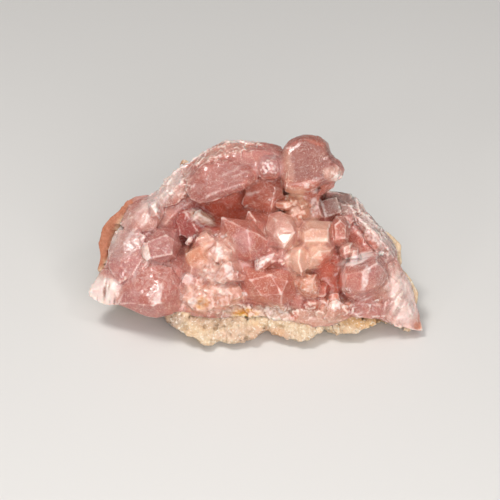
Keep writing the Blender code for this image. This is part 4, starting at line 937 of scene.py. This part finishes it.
# Broken faces with crisp borders, painted white, most of them as glints: whiteness, then corners (u, v),
# anticlockwise.
WHITE_AND_GLINT_FACES = [
    (0.55, [(-22.4, -11.4), (-20.8, -13.8), (-19.5, -13.4), (-18.6, -9.9), (-19.5, -9.5)]),
    (0.6, [(-23.7, -1.0), (-22.4, -4.7), (-21.2, -4.3), (-22.6, -1.0)]),
    (1.0, [(-0.1, -4.9), (0.1, -6.8), (1.2, -6.2), (3.6, -4.1), (4.0, -3.1), (1.2, -3.9)]),
    (1.0, [(-14.2, -0.6), (-13.3, -1.0), (-12.3, 0.8), (-13.7, 0.3)]),
    (0.9, [(-21.6, 7.3), (-20.6, 5.3), (-19.6, 5.5), (-20.2, 7.7)]),
    (0.3, [(-13.5, 3.9), (-11.5, 3.0), (-9.4, 3.6), (-11.9, 5.9)]),
    (0.8, [(-8.6, -1.8), (-8.2, -3.0), (-6.8, -4.4), (-6.4, -3.6), (-6.8, -1.8)]),
    (0.8, [(-2.8, -11.2), (-2.4, -11.9), (-1.5, -11.8), (-1.8, -11.2)]),
    (0.7, [(-6.4, -5.2), (-6.0, -8.0), (-4.6, -7.6), (-4.4, -6.0)]),
    (0.8, [(2.8, 8.0), (3.2, 7.6), (3.7, 8.3), (3.3, 8.5)]),
    (0.8, [(-2.5, 6.3), (-1.8, 6.4), (-1.4, 6.9), (-1.7, 7.0)]),
    (0.8, [(5.9, 6.5), (6.4, 6.4), (6.7, 6.9), (6.2, 7.1)]),
    (0.8, [(7.3, 5.4), (8.0, 5.4), (8.0, 5.9), (7.6, 6.0)]),
    (0.8, [(11.6, 8.2), (11.9, 4.6), (13.0, 4.2), (13.2, 6.4), (12.6, 8.4)]),
    (0.7, [(13.4, 8.0), (14.6, 4.4), (15.0, 4.8), (13.9, 8.2)]),
]

# Streaks of growth: strength and direction in degrees, then the patch.
STREAKED = [
    (0.35, 24.0, -6.5, 12.0, 8.0, 4.4, 22.0),
    (0.8, -18.0, 11.5, 10.2, 3.6, 1.6, -15.0),
    (0.8, 60.0, -28.6, -11.4, 1.8, 3.0, 20.0),
    (0.8, 20.0, 21.4, -5.2, 3.6, 1.6, 18.0),
    (0.7, -30.0, -10.0, 4.4, 3.4, 1.8, -35.0),
    (0.6, 25.0, 23.4, -13.8, 5.0, 3.2),
    (0.3, 4.0, 12.4, -16.7, 7.4, 1.6),
    (0.9, -35.0, -11.0, 4.4, 3.0, 1.6, -30.0),
    (0.5, -5.0, 9.0, 10.2, 4.4, 1.4),
    (0.5, -40.0, 24.5, 2.0, 4.0, 8.0, 38.0),
    (0.5, 50.0, -25.0, 0.0, 5.0, 7.0),
]

# Cracks that run through the broken ends: the same columns.
CRACKED = [
    (1.0, 82.0, -30.5, -10.8, 3.8, 4.0),
    (0.8, 10.0, 21.4, -5.0, 4.0, 1.4, 18.0),
    (0.6, 60.0, 29.5, -12.0, 3.0, 6.0),
    (0.5, 20.0, -4.0, 19.0, 8.0, 1.2, 15.0),
]


# Seeds of the quartz's noises.
BROKEN_SEED = 11
WORN_SEED = 12
ROUNDED_SEED = 13
BIG_CHIPS_SEED = 21
SMALL_CHIPS_SEED = 22
SWELL_SEED = 23
FROST_SEED = 61
SPARK_SEED = 81
SPARKLE_SEED = 82
STREAK_SEED = 83
CRACK_SEED = 84

LINE_SIZE = 0.55
LINE_STRETCH = (0.12, 1.0, 0.3)  # along the lines, across them and into the stone; less is longer
LINE_EDGE = (0.25, 0.9)


def lines(points, table, seed):
    """Fine lines that run across patches, 0 to 1."""
    light = np.zeros(len(points))
    ragged = rugged(points, RAGGED_SIZE, seed)
    for number, (strength, direction, *place) in enumerate(table):
        angle = math.radians(direction)
        along = points[:, 0] * math.cos(angle) + points[:, 1] * math.sin(angle)
        across = points[:, 1] * math.cos(angle) - points[:, 0] * math.sin(angle)
        stretched = np.stack([along, across, points[:, 2]], axis=1) * LINE_STRETCH
        line = ramp(rugged(stretched, LINE_SIZE, seed + 10 + number, 2), *LINE_EDGE)
        light = np.maximum(light, strength * line * patch(points, ragged, *place))
    return light


def inside_of(points, outline, soft):
    """1 inside a convex outline on the face, 0 outside it, with a border as wide as twice soft."""
    inside = np.full(len(points), BEYOND)
    for (u, v), (next_u, next_v) in zip(outline, outline[1:] + outline[:1]):
        edge_u, edge_v = next_u - u, next_v - v
        cross = edge_u * (points[:, 1] - v) - edge_v * (points[:, 0] - u)
        inside = np.minimum(inside, cross / math.hypot(edge_u, edge_v))
    return ramp(inside, -soft, soft)


def polished(points):
    """1 on the flat faces that mirror the light, and on no other."""
    return np.maximum.reduce([inside_of(points, outline, 0.1) for outline in POLISHED])


def white_and_glint_faces(points):
    """How white the broken faces with crisp borders are, most of them painted glints, 0 off them."""
    return np.maximum.reduce([white * inside_of(points, outline, 0.15) for white, outline in WHITE_AND_GLINT_FACES])


CREASE_PAINTED_SHADE = (0.2, 0.42, 0.45)  # how much painted shade darkens red, green and blue in creases
CRACK_SHADE = (0.42, 0.5, 0.5)
SPARKLE_SIZE = 0.5
EDGE_PASSES = 6  # smoothings that show where edges and creases are
WORN_PASSES = 16
ROUNDED_PASSES = 70


def quartz_fields(points, faces, pairs):
    """What the quartz material reads: painted highlights on edges, the tint with painted shade in creases and hollows,
    frosted parts with painted glints, glitter and polish.
    """
    lifted = ((points - smoothed(points, pairs, EDGE_PASSES)) * outward(points, faces)).sum(axis=1)
    spark = patched(points, SPARKLING, SPARK_SEED)
    _, numbers = chips(points, SPARKLE_SIZE, SPARKLE_SEED)
    face = white_and_glint_faces(points)
    # Painted glints: white on half the sparkling chips and on the listed faces; they are laid with the frosted parts.
    white = spark * ramp(numbers[:, 0], 0.5, 0.6) + face * (0.4 + 0.6 * ramp(numbers[:, 1], 0.25, 0.4))
    streaks = lines(points, STREAKED, STREAK_SEED)
    frost_and_painted_glints = np.clip(patched(points, FROSTED, FROST_SEED) + white + 0.6 * streaks, 0.0, 1.0)
    glitter = np.clip(spark + face + 0.35 * patched(points, BROKEN, BROKEN_SEED), 0.0, 1.0)
    crease_painted_shade = ramp(-lifted, 0.02, 0.16)
    cracks = lines(points, CRACKED, CRACK_SEED)
    # Painted shade in creases; cracks darken with their own colour.
    shade = 1.0 - np.maximum(np.outer(crease_painted_shade, CREASE_PAINTED_SHADE), np.outer(cracks, CRACK_SHADE))
    polish = polished(points)
    return {
        # Where the painted highlight lies along edges.
        "edge": ramp(lifted, 0.02, 0.12) * 0.7,
        "tint": tinted(points, TINTS, SHADES["rose"]) * shade,
        "frost_and_painted_glints": frost_and_painted_glints * (1.0 - polish) * (1.0 - cracks),
        "glitter": glitter * (1.0 - polish),
        "polish": polish,
    }


def worn(points, pairs):
    """Points with the worn and the rounded patches smoothed; polished faces are not rounded."""
    share = patched(points, WORN, WORN_SEED)[:, None]
    points = points + share * (smoothed(points, pairs, WORN_PASSES) - points)
    share = (patched(points, ROUNDED, ROUNDED_SEED) * (1.0 - polished(points)))[:, None]
    return points + share * (smoothed(points, pairs, ROUNDED_PASSES) - points)


CHIP_HEIGHT = 0.35  # share of their full height that the chips of broken quartz get
SWELL_HEIGHT = 0.04
CRACK_DEPTH = 0.2


def quartz_relief(points):
    """How far the surface of the quartz stands out: chips where it is broken, cracks, and a slight swell all over."""
    big = CHIP_HEIGHT * broken(points, 2.6, BIG_CHIPS_SEED)
    small = CHIP_HEIGHT * broken(points, 1.0, SMALL_CHIPS_SEED)
    relief = patched(points, BROKEN, BROKEN_SEED) * (big + small) + SWELL_HEIGHT * rugged(points, 1.4, SWELL_SEED)
    relief = relief - CRACK_DEPTH * lines(points, CRACKED, CRACK_SEED)
    return relief * (1.0 - polished(points))


QUARTZ_GRID = 0.272  # sizes of the small squares, which keep each piece under 200,000 triangles
RIND_GRID = 0.28
GAP_REACH = 0.95  # more than the CAD's gap between the wall and the crust
RIND_GAP_REACH = 1.2  # more than its gap between them and the rind
BITE = 0.3  # how far one body reaches into the other
SETTLE_REACH = 0.3


def quartz_skin():
    """The wall, the crust and the small points as one skin, with the narrow gap of the CAD closed."""
    wall = node_mesh("amethyst_wall")
    crust = node_mesh("hollow_crystals")
    lining = evened(*crust, QUARTZ_GRID)
    lining = closed_up(lining[0], outward(*lining), tree_of(*wall), GAP_REACH, BITE), lining[1]
    small = small_points(tree_of(*joined(wall, crust)))
    points, faces = outer_shell(*evened(*joined(wall, lining, small), QUARTZ_GRID))
    return settled(points, tree_of(*joined(wall, crust, small)), SETTLE_REACH), faces


def quartz_piece():
    """Adds the quartz and returns its mesh."""
    points, faces = quartz_skin()
    pairs = neighbours(faces)
    points = worn(points, pairs)
    points = points + outward(points, faces) * quartz_relief(points)[:, None]
    fields = quartz_fields(points, faces, pairs)
    piece = add_piece("pink_quartz", points, faces, "amethyst_wall", fields, quartz())
    rind = tree_of(*node_mesh("matrix_rind"))
    thinned(piece, covered(points, outward(points, faces), rind, RIND_GAP_REACH))
    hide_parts("hollow_crystals")
    return points, faces


# ---- the rind ----

# Where the rind keeps its smooth outer skin.
RIND_SKIN = [
    (1.0, -28.0, 7.0, 3.4, 2.6, 45.0, -6.0),
    (1.0, -31.0, 1.0, 3.4, 9.0, -15.0, -9.0),
    (1.0, -24.5, 8.4, 4.6, 2.6, 25.0, -9.0),
]

# Where it is thin and even: along the right rim and at the upper left.
RIND_CALM = [
    (0.85, 26.5, -1.0, 5.0, 12.0, 38.0, -11.0),
    (0.85, 31.5, -12.0, 4.0, 8.0, 12.0, -11.0),
    (0.45, 28.5, -6.0, 7.0, 16.0, 28.0),
    (0.6, -17.0, 14.4, 4.0, 3.0, 40.0),
]

# Its tints, as for the quartz.
RIND_TINTS = [
    ("skin", 1.0, -31.5, 0.0, 2.6, 8.0, -15.0, -9.0),
    ("lilac", 0.9, -24.0, 8.6, 4.8, 2.6, 25.0, -9.0),
    ("skin", 1.0, -28.0, 6.6, 3.4, 2.4, 45.0, -6.0),
    ("blush", 0.7, 27.6, -1.0, 5.0, 12.0, 38.0, -6.0),
    ("grey", 0.5, 27.6, 1.0, 5.0, 6.0, 38.0, -6.0),
    ("skin", 0.7, -17.0, 14.4, 3.0, 1.4, 40.0),
    ("grey", 0.6, -18.0, -17.0, 3.0, 3.0),
    ("chalcedony", 0.6, -9.0, -16.8, 5.6, 2.0),
    ("amber", 0.5, 24.0, -17.0, 6.0, 1.6),
    ("amber", 0.6, 4.0, -19.5, 2.0, 1.0),
    ("pale", 0.5, 0.0, -20.0, 9.0, 1.6),
]


# Seeds of the rind's noises.
LUMPS_SEED = 41
ROCK_CHIPS_SEED = 42
BUMPS_SEED = 43
SKIN_SEED = 45
CALM_SEED = 46

HOLES = [(3.4, 0.32, 47), (1.7, 0.36, 48)]  # size of their cells, largest radius as a share of it, and seed


def holes(points):
    """Gas holes of many sizes in the rock, 0 outside them and 1 deep inside."""
    deep = np.zeros(len(points))
    for size, most, seed in HOLES:
        offset, numbers = chips(points, size, seed)
        stretched = offset * (0.7 + 0.6 * numbers)
        far = np.linalg.norm(stretched, axis=1) / size + 0.06 * rugged(points, 0.8, seed + 2)
        radius = most * numbers[:, 2]
        deep = np.maximum(deep, 1.0 - ramp(far, 0.5 * radius, radius + 0.02))
    return deep


def rind_piece(quartz_mesh):
    """Adds the rock: lumpy and pitted where it is free, and closed up against the quartz."""
    points, faces = outer_shell(*evened(*node_mesh("matrix_rind"), RIND_GRID))
    points = smoothed(points, neighbours(faces), 1)
    height = placed(points, FACE)[:, 2] / MM
    free = ramp(height, 0.3, 1.5)
    skin = patched(points, RIND_SKIN, SKIN_SEED)
    calm = np.maximum(patched(points, RIND_CALM, CALM_SEED), 0.8 * skin)
    lumps = 0.6 * rugged(points, 4.0, LUMPS_SEED) + 0.35 * broken(points, 1.6, ROCK_CHIPS_SEED, 0.8)
    lumps = lumps + 0.12 * rugged(points, 0.9, BUMPS_SEED)
    pits = holes(points) * (1.0 - skin)
    points = points + outward(points, faces) * (free * (1.0 - calm) * (lumps - 0.8 * pits))[:, None]
    quartz_tree = tree_of(*quartz_mesh)
    hidden = covered(points, outward(points, faces), quartz_tree, RIND_GAP_REACH)
    points = closed_up(points, outward(points, faces), quartz_tree, RIND_GAP_REACH, BITE)
    fields = {"tint": tinted(points, RIND_TINTS, SHADES["cream"]), "pit_painted_shade": 0.7 * pits * (1.0 - calm), "skin": skin}
    thinned(add_piece("rock_rind", points, faces, "matrix_rind", fields, rock()), hidden)


# ---- the setting ----

AIM = (-1.03, -2.47, 0.0)  # the place on the face in the middle of the picture
CAMERA_DISTANCE = 0.45
PICTURE_WIDTH = 0.2059e-3 * 500
SENSOR_MM = 36.0
FLOOR_HALF = 3.0
WORLD_STRENGTH = 0.22

# Lights that look at the specimen's middle: name, place, width and length, power and colour.
LIGHTS = [
    ("overhead", (-0.05, -0.20, 0.55), (0.50, 0.40), 0.75, (1.0, 0.99, 0.97)),
    ("key", (-0.15, -0.11, 0.485), (0.12, 0.12), 1.05, (1.0, 0.97, 0.93)),
    ("front", (0.10, -0.50, 0.26), (0.40, 0.30), 1.8, (1.0, 0.98, 0.96)),
    ("spark_right", (0.22, -0.24, 0.42), (0.06, 0.06), 0.2, (1.0, 0.98, 0.96)),
    ("spark_low", (-0.26, -0.42, 0.22), (0.06, 0.06), 0.2, (1.0, 0.98, 0.96)),
]
MIDDLE = (0.0, 0.0, 0.02)


def aimed(thing, place, target):
    """Puts a camera or a light somewhere, looking at the target."""
    thing.location = place
    thing.rotation_mode = "QUATERNION"
    thing.rotation_quaternion = (Vector(target) - Vector(place)).to_track_quat("-Z", "Y")


def add_floor():
    bm = bmesh.new()
    bmesh.ops.create_grid(bm, x_segments=2, y_segments=2, size=FLOOR_HALF)
    mesh = bpy.data.meshes.new("floor")
    bm.to_mesh(mesh)
    bm.free()
    material, _, surface = nodes_of("pale_floor")
    surface.inputs["Base Color"].default_value = (0.72, 0.71, 0.70, 1.0)
    surface.inputs["Roughness"].default_value = 0.8
    mesh.materials.append(material)
    floor = bpy.data.objects.new("floor", mesh)
    bpy.context.scene.collection.objects.link(floor)


def add_camera():
    data = bpy.data.cameras.new("camera")
    data.sensor_width = SENSOR_MM
    data.lens = SENSOR_MM * CAMERA_DISTANCE / PICTURE_WIDTH
    data.clip_start = 0.02
    camera = bpy.data.objects.new("camera", data)
    bpy.context.scene.collection.objects.link(camera)
    aim = FACE @ Vector(AIM)
    out = (FACE.to_3x3() @ Vector((0.0, 0.0, 1.0))).normalized()
    aimed(camera, aim + out * CAMERA_DISTANCE, aim)
    bpy.context.scene.camera = camera


def add_lights():
    world = bpy.data.worlds.new("studio")
    world.use_nodes = True
    background = world.node_tree.nodes["Background"]
    background.inputs["Color"].default_value = (1.0, 0.99, 0.97, 1.0)
    background.inputs["Strength"].default_value = WORLD_STRENGTH
    bpy.context.scene.world = world
    for name, place, size, power, colour in LIGHTS:
        data = bpy.data.lights.new(name, "AREA")
        data.shape = "RECTANGLE"
        data.size, data.size_y = size
        data.energy = power
        data.color = colour
        light = bpy.data.objects.new(name, data)
        bpy.context.scene.collection.objects.link(light)
        aimed(light, place, MIDDLE)


add_floor()
add_camera()
add_lights()
bpy.context.scene.view_settings.view_transform = "Standard"
rind_piece(quartz_piece())
